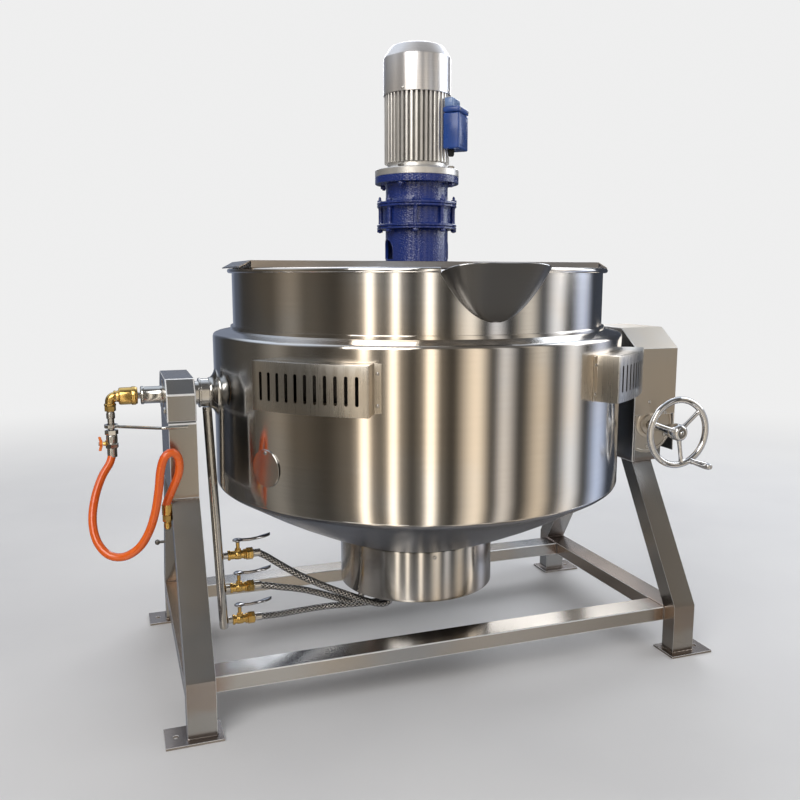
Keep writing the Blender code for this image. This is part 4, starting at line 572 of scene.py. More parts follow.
def frame_steel():
    """Satin box section with brown weld tint where rails and legs meet and at the feet."""
    m = steel("frame_steel_brushed", (0.42, 0.41, 0.395), 0.24, (700, 700, 6))
    height = m.math("ADD", m.xyz()[2], m.off(m.noise(30.0), 0.5, 0.02))
    tint = 0.0
    for middle, reach, strength in ((0.1045, 0.050, 0.30), (0.505, 0.012, 0.30), (0.0, 0.022, 0.28)):
        away = m.math("ABSOLUTE", m.math("SUBTRACT", height, middle))
        near = m.math("MULTIPLY", m.span(away, reach * 0.45, reach, 1.0, 0.0), strength)
        tint = m.math("MAXIMUM", tint, near)
    base = m.b.inputs["Base Color"].links[0].from_socket
    m.set("Base Color", m.mix(tint, base, (0.30, 0.17, 0.10)))
    return m


def rail_steel():
    """The same steel brushed along X, browned near both ends of each rail."""
    m = steel("rail_steel_brushed", (0.50, 0.485, 0.46), 0.22, (5, 800, 800))
    away = m.math("ABSOLUTE", m.math("SUBTRACT", m.xyz()[0], SHIFT.translation.x))
    uneven = m.math("ADD", away, m.off(m.noise(22.0), 0.5, 0.05))
    base = m.b.inputs["Base Color"].links[0].from_socket
    m.set("Base Color", m.mix(m.span(uneven, 0.560, 0.625, 0.0, 0.55), base, (0.28, 0.15, 0.09)))
    return m


def hose_rubber():
    """Orange gas hose: half gloss, faint lengthwise streaks and fine ribs."""
    light, dark = (0.90, 0.155, 0.012), (0.72, 0.085, 0.006)
    m = Mat("orange_hose_rubber", light, 0.22, 0.0, "UV")
    m.set("Base Color", m.mix(m.span(m.noise(1.0, (4, 260, 1)), 0.35, 0.7), light, dark))
    m.set("Roughness", m.span(m.noise(40.0), 0.3, 0.7, 0.16, 0.30))
    m.set("Coat Weight", 0.6)
    m.set("Coat Roughness", 0.15)
    m.set("Subsurface Weight", 0.05)
    m.bump(m.noise(1.0, (900, 40, 1), 2), 0.05, 0.0004)
    return m


def wire_braid():
    """Steel wire braid: two opposed helices of strands over a dark core."""
    m = Mat("steel_wire_braid", (0.5, 0.49, 0.47), 0.28, 1.0, "UV")
    u, v, _ = m.xyz()

    def helix(along, around):
        phase = m.math("ADD", m.math("MULTIPLY", u, along), m.math("MULTIPLY", v, around))
        return m.math("SINE", phase)

    weave = m.math("MAXIMUM", helix(560.0, 666.6), helix(560.0, -666.6))
    bright, core = (0.86, 0.85, 0.83), (0.008, 0.008, 0.008)
    m.set("Base Color", m.mix(m.span(weave, 0.62, 0.98), core, bright))
    m.set("Metallic", m.span(weave, 0.3, 0.6))
    m.set("Roughness", m.span(weave, 0.0, 1.0, 0.5, 0.24))
    m.bump(weave, 0.8, 0.0012)
    m.bump(helix(4600.0, 5400.0), 0.15, 0.0003)
    return m


FRAME = frame_steel()
RAIL = rail_steel()
HOSE = hose_rubber()
BRAID = wire_braid()

# Looks: the body a piece rides on, its material and its slot in the record
STAND_FRAME = ("stand", FRAME, "frame_steel")
STAND_COVER = ("stand", COVER, "frame_steel")
STAND_PIPE = ("stand", PIPE, "pipe_steel")
STAND_SCREW = ("stand", SCREW, "pipe_steel")
STAND_BRASS = ("stand", BRASS, "brass")
KETTLE_PIPE = ("kettle", PIPE, "pipe_steel")
KETTLE_SCREW = ("kettle", SCREW, "pipe_steel")
KETTLE_BRASS = ("kettle", BRASS, "brass")
KETTLE_BLUE = ("kettle", BLUE, "blue_paint")
KETTLE_BOX = ("kettle", BLUE_BOX, "blue_paint")
KETTLE_SILVER = ("kettle", SILVER, "motor_aluminium")
KETTLE_POT = ("kettle", POT, "pot_steel")
KETTLE_CASE = ("kettle", CASE, "sheet_steel")
WHEEL_CHROME = ("tilt_handwheel", CHROME, "chrome")
WHEEL_PIPE = ("tilt_handwheel", PIPE, "pipe_steel")
STIRRER_PIPE = ("stirrer", PIPE, "pot_steel")
HANDLE_ORANGE = ("cock_handle", ORANGE, "orange_paint")


# Hoses: routes in millimetres, the same as in the CAD
HOSE_ROUTE = mm(
    -814, 0, 611.5, -814, 0, 601, -822, -8, 575, -842, -24, 545, -860, -50, 500,
    -868, -76, 450, -860, -100, 405, -835, -122, 375, -800, -140, 372, -766, -157, 395,
    -742, -172, 435, -726, -184, 485, -716, -192, 540, -710, -200, 590, -700, -204, 622,
    -682, -200, 632, -668, -192, 614, -668, -184, 578, -684, -172, 535, -696.8, -157, 500,
    -696.8, -155, 482, -696.8, -155, 470.5, size=3)
BURNER_ROUTES = (
    mm(
        -469.6, 0, 298, -458, 0, 298, -435, -3, 286, -400, -12, 262, -345, -30, 228,
        -280, -50, 196, -215, -66, 168, -165, -74, 147, -130, -76.5, 137, -108, -76.5, 142,
        -99.8, -75.2, 157, -99.8, -75.2, 171.5, size=3),
    mm(
        -469.6, 0, 206, -458, 0, 206, -435, -4, 203, -400, -12, 197, -345, -18, 186,
        -290, -22, 168, -240, -27, 149, -205, -30, 137, -182, -30.6, 142, -172.3, -30.4, 157,
        -172.3, -30.4, 171.5, size=3),
    mm(
        -469.6, 0, 116, -458, 0, 116, -435, 2, 114, -395, 6, 112, -335, 8, 114,
        -275, 4, 117, -215, -6, 119, -155, -15, 120, -105, -20.5, 124, -77, -22.6, 137,
        -66.2, -22.8, 156, -66.2, -22.8, 171.5, size=3),
)


def hose(look, name, route, radius, node):
    points, total = smooth(route, radius * 0.9)
    obj = tube(look, name, points, radius, 20, nodes=(node,))


hose(("stand", HOSE, "orange_hose"), "gas_hose_tube", HOSE_ROUTE, 0.0099, "gas_hose")
for number, route in enumerate(BURNER_ROUTES, 1):
    hose(
        ("kettle", BRAID, "braided_hose"), f"burner_hose_tube_{number}", route, 0.009,
        f"burner_hose_{number}")


# Pot, casing and burner housing
def pot_top(a):
    """Height of the pot's wall at an angle from +X: it dips along the spout's seat."""
    x, y = POT_R * math.cos(a), POT_R * math.sin(a)
    if y > 0 or abs(x) > 0.1265:
        return 1.047
    share = ((abs(x) + 0.004) / 0.125) ** 2
    return min(0.938 + 0.107 * share, 1.045)


def make_pot():
    steps, wall, knuckle, depth = 288, 0.003, 0.660, 0.260
    profile = []
    for radius, deep in ((POT_R, depth), (POT_R - wall, depth - wall)):
        side = []
        for k in range(24):
            a = math.radians(90 * (24 - k) / 24)
            side.append((radius * math.cos(a), knuckle - deep * math.sin(a), 0.0))
        side += [(radius, knuckle, k / 16) for k in range(17)]
        profile += reversed(side) if profile else side
    bm = bmesh.new()
    made = []
    for r, z, share in profile:
        for k in range(steps):
            a = 2 * math.pi * k / steps
            high = z + (pot_top(a) - knuckle) * share
            made.append(bm.verts.new((r * math.cos(a), r * math.sin(a), high)))
    for face in quads(len(profile), steps):
        bm.faces.new([made[i] for i in face])
    bmesh.ops.remove_doubles(bm, verts=bm.verts, dist=0.00002)
    mid_r, mid_depth = POT_R - 0.0016, depth - 0.0016

    def is_inside(face):
        middle = face.calc_center_median()
        if middle.xy.length > POT_R - 0.0022 or middle.z < 0.4025:
            return False
        return min(
            v.co.xy.length_squared / mid_r ** 2 + (min(v.co.z - knuckle, 0) / mid_depth) ** 2
            for v in face.verts) < 1.0

    for face in bm.faces:
        face.material_index = int(is_inside(face))
    bmesh.ops.transform(bm, matrix=SHIFT, verts=bm.verts)
    pot = mesh_object("pot_shell", bm, 40)
    inside = [face.material_index for face in pot.data.polygons]
    put(pot, *KETTLE_POT, ("inner_pot",))
    add_material(pot, POT_INSIDE, lambda face: inside[face.index])

    # rolled rim, open where the spout is
    half = math.degrees(math.asin(0.1262 / POT_R))
    section = arc(0.5058, 1.052, 0.006, -90, 90, 8) + arc(0.5032, 1.052, 0.006, 90, 270, 8)
    rows, n = 301, len(section)
    turns = [half + (360 - 2 * half) * k / (rows - 1) for k in range(rows)]
    verts = [front(r, turn, z) for turn in turns for r, z in section]
    put(from_faces("pot_rim", verts, quads(rows, n) + caps(rows, n), 60), *KETTLE_POT)

    dish = [math.radians(6 * k) for k in range(1, 15)]
    outer = [(0.530 * math.cos(a), 0.62 - 0.250 * math.sin(a)) for a in reversed(dish)]
    inner = [(0.526 * math.cos(a), 0.62 - 0.246 * math.sin(a)) for a in dish]
    profile = mm(500.3, 856, 526, 856, 526, 620) + inner + mm(0, 374, 0, 370) + outer
    profile += mm(530, 620, 530, 860, 500.3, 860)
    # the jacket wears the same dark copy of the steel: painted shade
    lathe(
        ("kettle", CONE_SHADED, "pot_steel"), "jacket_shell", profile, steps=160, closed=True,
        nodes=("jacket_vessel",))


PORT = about(-59.5) @ at(z=0.595) @ ALONG_MINUS_Y


def make_casing():
    low_r, seat = 0.2137, 0.3183
    cone = mm(
        550.5, 489.5, 541.5, 482.5, 500, 458.5, 440, 423.5, 385, 394.5, 320, 363, 262, 337,
        222, 321.5)
    outer = mm(
        500.3, 910, 506.5, 910, 507, 908.5, 507, 901, 509.5, 899.5, 545, 892.5, 550, 890.5,
        552.7, 887.5, 553.8, 883.5)
    outer += [(CASING_R, 0.879 - 0.379 * k / 10) for k in range(11)]
    outer += mm(553.5, 495.5) + cone + [(0.2160, seat + 0.0008), (low_r, seat)]
    inner = [(low_r, 0.3003), (low_r - 0.002, 0.3003), (low_r - 0.002, seat + 0.002)]
    inner += [(r - 0.0005, z + 0.0024) for r, z in reversed(cone[:-1])]
    inner += mm(552, 497, 552, 880, 548, 888.5, 509.5, 896.5, 500.3, 896.5)
    casing = turned("casing_shell", outer + inner, steps=256, closed=True)
    half = CASING_R * math.sin(math.radians(9))
    cutters = [
        block("flue", (-half, -0.575, 0.764), (half, -0.53, 0.834), 0, about(turn))
        for turn in (43.5, -43.5, 136.5, -136.5)
    ]
    cutters.append(turned("port_hole", mm(0, 520, 34, 520, 34, 580, 0, 580), PORT, 48))
    for placing in (ALONG_X, ALONG_MINUS_X):
        hole = mm(0, 520, 30.8, 520, 30.8, 580, 0, 580)
        cutters.append(turned("trunnion_hole", hole, at(z=TILT_Z) @ placing, 32))
    put(cut(casing, *cutters), *KETTLE_CASE, ("outer_casing",))
    # the cone below the seam wears a much darker copy of the casing steel: painted shade
    add_material(casing, CONE_SHADED, lambda face: face.center.z < 0.494)
    # seam bead where the casing's cylinder meets the cone
    bead = arc(0.5524, 0.4975, 0.0016, -90, 90, 6)
    lathe(KETTLE_CASE, "casing_seam", bead, steps=256, closed=True)

    # burner housing: plain wall with a rolled lower lip
    low, r = 0.181, 0.216
    wall = mm(214, 318, 215.7, 317.8, 216, 316.5)
    wall += [(r, 0.315 - 0.126 * k / 6) for k in range(7)]
    wall += arc(r - 0.0022, low + 0.0022, 0.0022, 0, -180, 8) + mm(211.6, 187, 214, 188.5)
    lathe(
        ("kettle", LOW_CASE, "sheet_steel"), "burner_housing_shell", wall, steps=192,
        sharp=28, closed=True, nodes=("burner_housing",))


def screw(name, radius, azimuth, z, size, tall, nodes=()):
    """A pan-head screw with a cross recess, standing on a radius about the pot's axis."""
    placing = about(azimuth) @ at(y=-radius, z=z) @ ALONG_MINUS_Y
    shape = ((0, 1), (0.45, 0.96), (0.8, 0.72), (1, 0.2), (1, 0), (0, 0))
    head = turned(name, [(size * r, tall * h) for r, h in shape], placing, 24)
    long, wide = size * 0.62, size * 0.13
    arms = [
        block("cross", (-long, -wide, tall * 0.5), (long, wide, tall * 1.5), 0, placing @ about(turn))
        for turn in (20, 110)
    ]
    put(cut(head, *arms), *KETTLE_SCREW, nodes)


def make_vents():
    half, flange, r_out = 13.5, 1.8, 0.6085
    low, high, sheet = 0.745, 0.853, 0.0015
    seat, pieces = CASING_R + 0.0003, 22
    turns = [half * (2 * k / pieces - 1) for k in range(pieces + 1)]
    path = [front(seat, -half - flange), front(seat, -half)]
    path += [front(r_out, turn) for turn in turns]
    path += [front(seat, half), front(seat, half + flange)]
    count = len(path)
    verts = [(p.x, p.y, z) for z in (low, high) for p in path]
    faces = quads(2, count, loop=False)
    # lid and floor between the front's edge and the casing
    for level, z in ((0, low), (count, high)):
        behind = [level + count - 2]
        for turn in reversed(turns[1:-1]):
            behind.append(len(verts))
            verts.append(front(seat, turn, z))
        behind.append(level + 1)
        row = [level + 2 + k for k in range(pieces, -1, -1)]
        faces += zip(behind, behind[1:], row[1:], row)
    box = from_faces("vent_box", verts, faces, 30)
    thickened(box, sheet).use_even_offset = True
    baked(box)
    bevelled(box, 0.0012, 2, 50)
    baked(box)
    wide, foot, top = 0.004, 0.767, 0.831
    slot = arc(0, top - wide, wide, 0, 180, 8)
    slot += [(-x, foot + top - z) for x, z in slot]
    out = at(y=-r_out) @ ALONG_MINUS_Y
    cut(box, *[
        slab("slot", slot, -0.02, 0.02, about((k - 5) * half / 6) @ out) for k in range(11)
    ])
    places = (("front_left", -43.5), ("front_right", 43.5), ("rear_left", -136.5), ("rear_right", 136.5))
    for name, turn in places:
        vent = linked(f"vent_box_{name}", box.data.copy())
        vent.data.transform(SHIFT @ about(turn) @ SHIFT.inverted())
        put(vent, "kettle", SHEET, "sheet_steel", (f"vent_{name}",))
        # near-black strips behind the outer slots, where the casing is closed: painted shade, so the
        # slots read dark
        for side, edge in (("a", -1), ("b", 1)):
            row = [
                about(turn) @ front(CASING_R + 0.0006, edge * (9.1 + 4.2 * k / 8), z)
                for z in (low + 0.0016, high - 0.0016) for k in range(9)
            ]
            strip = from_faces(f"slot_shade_strip_{name}_{side}", row, quads(2, 9, loop=False))
            thickened(strip, 0.0004)
            put(baked(strip), "kettle", SLOT_SHADE, "sheet_steel")
        for side, edge in (("a", -1), ("b", 1)):
            for k, share in enumerate((0.16, 0.80)):
                screw(
                    f"vent_screw_{name}_{side}{k}", CASING_R + 0.0018,
                    turn + edge * (half + flange / 2), low + share * (high - low), 0.0042, 0.0024)
    bpy.data.objects.remove(box)


def make_port():
    back = CASING_R + 0.0003
    disc = mm(0, 0, 44.5, 0, 45, 0.5, 45, 1.3, 44.3, 2, 0, 2, lift=back)
    lathe(
        ("sight_cover", PIPE, "sheet_steel"), "port_cover_disc", disc, PORT, 64,
        nodes=("port_cover",))
    screw("port_pivot_screw", back + 0.0022, -59.5, 0.632, 0.0045, 0.0026, ("port_screw",))


def make_spout():
    rows, across, wide, reach = 26, 56, 0.125, 0.5638
    low, top, rise, squareness = 0.938, 1.045, 0.021, 2 / 3.2
    seat_r = POT_R + 0.0006
    verts = [Vector((0, -seat_r, low))]
    for k in range(1, rows + 1):
        share = (k / rows) ** 1.5
        half = wide * math.sqrt(share)
        chord = math.sqrt(seat_r ** 2 - half ** 2)
        depth = seat_r + share * (reach - POT_R) - chord - 0.0006 * share
        for i in range(across + 1):
            a = math.pi * i / across
            aside = math.copysign(abs(math.cos(a)) ** squareness, math.cos(a))
            out = abs(math.sin(a)) ** squareness
            height = low + share * (top + out * rise - low)
            verts.append(Vector((half * aside, -chord - depth * out, height)))
    n = across + 1
    faces = [(0, 1 + i, 2 + i) for i in range(across)]
    faces += [tuple(reversed(face)) for face in quads(rows, n, loop=False, start=1)]
    spout = from_faces("spout_sheet", verts, faces, 60)
    thickened(spout, 0.0018)
    shade(baked(spout), 60)
    # the spout wears a dark copy of the pot steel: painted shade
    put(spout, "kettle", SPOUT_SHADED, "pot_steel", ("pour_spout",))
    add_material(spout, POT_INSIDE, lambda face: face.normal.y > 0.02)
    # folded edge round the lip in bright chrome, a painted highlight, and the weld seam along the pot's
    # wall
    lip = []
    for p in verts[1 + (rows - 1) * n:]:
        inwards = 1 - 0.0013 / p.xy.length
        lip.append((p.x * inwards, p.y * inwards, p.z))
    tube(("kettle", CHROME, "pot_steel"), "spout_lip_highlight", lip, 0.0016, 10)
    seam = [verts[1 + k * n] for k in range(rows - 1, -1, -1)] + [verts[0]]
    seam += [verts[n + k * n] for k in range(rows)]
    seam = [p + Vector((p.x, p.y, 0)).normalized() * 0.0008 for p in seam]
    tube(KETTLE_POT, "spout_seam", seam, 0.0014, 10)


make_pot()
make_casing()
make_vents()
make_port()
make_spout()
screw("burner_housing_screw", 0.2161, -7, 0.304, 0.0052, 0.0028)


# Stand
def weld(look, name, points, size, swing, wave, closed=False):
    """A bead along points that swells and thins a little."""
    radii = [size + swing * math.sin(wave * k) for k in range(len(points))]
    tube(look, name, points, radii, closed=closed)


def make_stand():
    frame_nodes = (
        (0.0032, 3, ("leg_front_left", "leg_front_right", "leg_rear_left", "leg_rear_right")),
        (0.0030, 3, ("left_column", "left_bearing_housing")),
        (0.0016, 2, ("rail_left", "rail_right", "right_bearing_plate", "gear_head")),
    )
    # the frame's bevels wear the near-white edge material: a painted highlight along each edge
    for bevel, segments, nodes in frame_nodes:
        for node in nodes:
            dress(node, FRAME, bevel, segments, EDGE_HIGHLIGHT)
    for node in ("rail_front", "rail_rear"):
        dress(node, RAIL, 0.0024, 3, EDGE_HIGHLIGHT)
    dress("gear_cover", COVER, 0.0010, 2, EDGE_HIGHLIGHT)
    for node in ("worm_wheel", "left_bush", "right_bush"):
        dress(node, BRONZE, 0.0004, 1)
    dress("motor_rotor", DARK, 0.0004, 1)
    for sx, sy in ((-1, -1), (-1, 1), (1, -1), (1, 1)):
        corner = f"{'lr'[sx > 0]}{'fr'[sy > 0]}"
        x0, x1 = sx * LEG_X - 0.033, sx * LEG_X + 0.033
        y0, y1 = sorted((sy * 0.375, sy * 0.327))
        corners = [Vector((x, y, 0.0072)) for x, y in ((x0, y0), (x1, y0), (x1, y1), (x0, y1))]
        sides = zip(corners, corners[1:] + corners[:1])
        loop = [a.lerp(b, k / 14) for a, b in sides for k in range(14)]
        weld(STAND_FRAME, f"foot_weld_{corner}", loop, 0.0022, 0.0004, 2.1, True)
        # where the cross rail meets the leg and the side rail
        line = [(sx * 0.6186, sy * (0.258 + 0.071 * k / 20), 0.1246) for k in range(21)]
        weld(("stand", RAIL, "frame_steel"), f"rail_weld_{corner}", line, 0.0018, 0.0004, 1.9)
    # joint lines at the shoulder, between legs and column or gear head
    for sx, reach in ((-1, 0.1508), (1, 0.1538)):
        for sy in (-1, 1):
            line = [(sx * LEG_X - 0.031 + 0.062 * k / 14, sy * reach, 0.5032) for k in range(15)]
            weld(STAND_FRAME, f"shoulder_weld_{'lr'[sx > 0]}{'fr'[sy > 0]}", line, 0.0013, 0.0003, 2.3)
    # bolts that hold the bearing housing, and the ball stud on the rear left leg
    for k, y in enumerate((-0.112, 0.112)):
        placing = at(-0.6873, y, 0.717) @ ALONG_MINUS_X
        nut(STAND_SCREW, f"housing_bolt_{k}", 0.0085, 0, 0, 0.0055, placing)
    shape = mm(
        0, 0, 4, 0, 4, 10, 3.5, 13, 6.8, 15, 8.5, 19.5, 6.8, 24, 3.5, 26.2, 0, 26.8)
    lathe(
        ("stand", DARK, "pipe_steel"), "ball_stud", shape,
        at(-0.6852, 0.268, 0.270) @ ALONG_MINUS_X, 24, 60)


def make_trunnions():
    left, right = at(z=TILT_Z) @ ALONG_MINUS_X, at(z=TILT_Z) @ ALONG_X
    collar = mm(
        30, 599, 37.2, 599, 38.2, 598, 38.2, 594.5, 37.2, 593.5, 36.2, 593, 36.2, 574,
        37.2, 573.3, 38.5, 572.5, 38.8, 569.5, 40.5, 566.5, 44.5, 562.5, 51, 558.5,
        60, 555.1, 60, 550.5, 30, 554.5, 30, 530.3, 0, 530.3)
    sleeve = mm(
        0, 748.2, 7.5, 748.2, 8.5, 747, 8.5, 741, 20.5, 740.8, 22.2, 739.8, 23.2, 738,
        23.2, 734.5, 22.2, 733.5, 21.5, 732.8, 21.5, 696, 22.2, 695, 22.6, 693.5,
        22.6, 687.6, 30, 687.4)
    shaft = mm(0, 688, 28.8, 688, 30, 686.8)
    for name, end, placing in (("left", sleeve, left), ("right", shaft, right)):
        lathe(
            KETTLE_PIPE, f"{name}_trunnion_turned", end + collar, placing, 96, 36,
            nodes=(f"{name}_trunnion",))
    # black lip seal between collar and housing
    seal = mm(30.5, 616.5, 33.5, 616.5, 34.5, 615, 34.5, 609.5, 33.5, 608, 30.5, 608)
    lathe(("stand", BLACK, "pipe_steel"), "left_lip_seal", seal, left, 64, closed=True)


def ferrule(look, name, inner, radii, low, high, ridges, placing, steps):
    """A crimped hose end with small ridges round it; radii are its valleys and ridges."""
    profile = [(inner, low)]
    for k in range(ridges + 1):
        profile.append((radii[k % 2], low + (high - low) * k / ridges))
    profile.append((inner, high))
    lathe(look, name, profile, placing, steps, 60, True)


def make_gas_line():
    along = at(z=TILT_Z) @ ALONG_MINUS_X
    riser_x, elbow_end, bend = 0.814, 0.8005, 0.0135
    body = mm(
        9.2, 747.8, 19.5, 747.8, 21.2, 749, 21.6, 751.5, 22.5, 752, 23.4, 753.2, 23.4, 761.2,
        22.6, 762.4, 21.8, 763, 21.8, 788, 21.2, 790.5, 19.5, 792.5, 15, 793.5, 13.5, 798.5,
        9.2, 798.5)
    lathe(STAND_BRASS, "gas_union_body", body, along, 64, 34, True, ("gas_union",))
    # cast elbow with a collar at each mouth and a hex nut under it
    route = [(-0.7990, 0, TILT_Z)]
    for k in range(11):
        a = math.pi / 2 * k / 10
        route.append((-elbow_end - bend * math.sin(a), 0, TILT_Z - bend + bend * math.cos(a)))
    route.append((-riser_x, 0, 0.7190))
    tube(STAND_BRASS, "gas_elbow", route, 0.0118, 32, nodes=("gas_riser",))
    riser = at(-riser_x, 0, 0)
    side = mm(0, 798.8, 13.8, 798.8, 14.8, 799.8, 14.8, 803.5, 13.8, 804.6, 0, 804.6)
    low = mm(0, 718.5, 13.4, 718.5, 14.4, 719.5, 14.4, 723.5, 13.4, 724.6, 0, 724.6)
    lathe(STAND_BRASS, "elbow_collar_side", side, along, 48, 36)
    lathe(STAND_BRASS, "elbow_collar_low", low, riser, 48, 36)
    nut(STAND_BRASS, "elbow_nut", 0.0138, 10, 0.7055, 0.7182, riser, 0.0011)
    nipple = mm(
        0, 658.8, 8, 658.8, 8, 660, 8.2, 686, 9.8, 686.8, 10.5, 688.5, 10.5, 699, 9.8, 700.5,
        9, 706, 0, 706)
    lathe(STAND_PIPE, "riser_nipple", nipple, riser, 48, 36)
    # bracket: clamp ring and the bent rod to the column
    bracket = ("stand", PIPE, "sheet_steel")
    ring = mm(10.8, 663.6, 15.8, 663.6, 16.5, 664.3, 16.5, 671.7, 15.8, 672.4, 10.8, 672.4)
    lathe(bracket, "gas_clamp", ring, riser, 48, closed=True, nodes=("gas_bracket",))
    b, c = Vector((-0.701, -0.1543, 0.682)), Vector((-0.640, -0.1543, 0.682))
    aim = Vector((b.x + riser_x, b.y)).normalized() * 0.0138
    a = Vector((aim.x - riser_x, aim.y, 0.668))
    rod = [a.lerp(b, k / 12) for k in range(12)] + [b.lerp(a, 0.06)]
    rod += [b.lerp(a, 0.02) + Vector((0.001, 0.0006, 0)), b.lerp(c, 0.06)]
    rod += [b.lerp(c, k / 5) for k in range(1, 6)]
    tube(bracket, "gas_bracket_rod", rod, 0.0038, 16)
    # ball cock: hex ends, round body, stem and butterfly
    nut(
        STAND_PIPE, "cock_nut_top", 0.0163, 5, 0.6462, 0.6578, riser, 0.0012,
        ("gas_cock_body",))
    nut(STAND_PIPE, "cock_nut_low", 0.0163, 20, 0.6122, 0.6236, riser, 0.0012)
    barrel = mm(
        0, 623.6, 11.8, 623.6, 13.5, 626.2, 13.8, 635, 13.5, 643.6, 11.8, 646.2, 0, 646.2)
    lathe(STAND_PIPE, "cock_barrel", barrel, riser, 48, 45)
    stem = mm(
        0, 822, 8.5, 822, 8.5, 828.5, 7.5, 829.5, 5.8, 829.7, 5.2, 835.5, 0, 835.8)
    lathe(STAND_BRASS, "cock_stem", stem, at(z=0.624) @ ALONG_MINUS_X, 32)
    place = at(-0.8363, 0, 0.624) @ ALONG_MINUS_X
    # two flared wings that stand away from the hub, as on a wing nut
    wing = mm(3, 0, 6.8, 0, 12, 2.2, 17.2, 3, 18.2, 5, 18, 8.8, 16.2, 10.2, 11, 8.6, 3, 7)
    for k, sign in enumerate((1, -1)):
        outline = [(x * sign, y) for x, y in wing]
        piece = slab(f"butterfly_wing_{k}", outline, -0.0028, 0.0028, place @ about(90, "X"), 0.0012)
        put(piece, *HANDLE_ORANGE)
    hub = mm(0, 0.2, 5.2, 0.2, 6, 1, 6, 6.6, 5.2, 7.4, 0, 7.4)
    lathe(HANDLE_ORANGE, "butterfly_hub", hub, place, 32, nodes=("gas_cock_handle",))
    nut(
        ("cock_handle", SCREW, "pipe_steel"), "butterfly_nut", 0.0048, 0, 0.0072, 0.0100, place,
        0.0006)
    # crimped ends of the hose, and the supply fitting
    supply, crimp = at(-0.6968, -0.155, 0), (0.0115, 0.0123)
    ferrule(
        ("stand", PIPE, "brass"), "hose_ferrule_top", 0.0101, crimp, 0.5895, 0.6116, 12,
        at(-riser_x - 0.0006, -0.0006, 0), 40)
    ferrule(STAND_BRASS, "hose_ferrule_low", 0.0101, crimp, 0.4712, 0.4960, 12, supply, 40)
    nut(
        STAND_BRASS, "supply_nut", 0.0115, 8, 0.4540, 0.4698, supply, 0.0010,
        ("gas_supply_fitting",))
    stub = mm(
        0, 435.2, 6, 435.2, 6.6, 436, 6.6, 439.5, 8.8, 440.2, 8.8, 450, 7.5, 451.2, 7.5, 454,
        0, 454)
    lathe(STAND_BRASS, "supply_stub", stub, supply, 40, 36)
    eye = [(-0.6860, y, z) for y, z in arc(-0.1415, 0.4600, 0.0062, 0, 342, 19)]
    tube(STAND_SCREW, "supply_eyelet", eye, 0.0012, closed=True)


def lever_arm(name, foot):
    """Spoon-shaped handle, thin at the neck and flat at its end."""
    rows, around, neck_x, long = 27, 18, -0.504, 0.0815
    verts = []
    for i in range(rows):
        t = i / (rows - 1)
        climb = 0.0045 * t + 0.0042 * max(0.0, (t - 0.72) / 0.28) ** 1.6
        height = foot + 0.0062 + climb - 0.0026 * math.sin(math.pi * min(1, t * 1.35))
        spoon = math.exp(-((t - 0.80) / 0.17) ** 2)
        wide, tall = 0.0044 + 0.0066 * spoon, 0.0042 - 0.0006 * spoon
        if t > 0.93:
            wide *= math.sqrt(max(0.02, 1 - ((t - 0.93) / 0.0705) ** 2))
        for k in range(around):
            a = 2 * math.pi * k / around
            verts.append((neck_x + t * long, wide * math.cos(a), height + tall * math.sin(a)))
    return from_faces(name, verts, quads(rows, around) + caps(rows, around), 60)


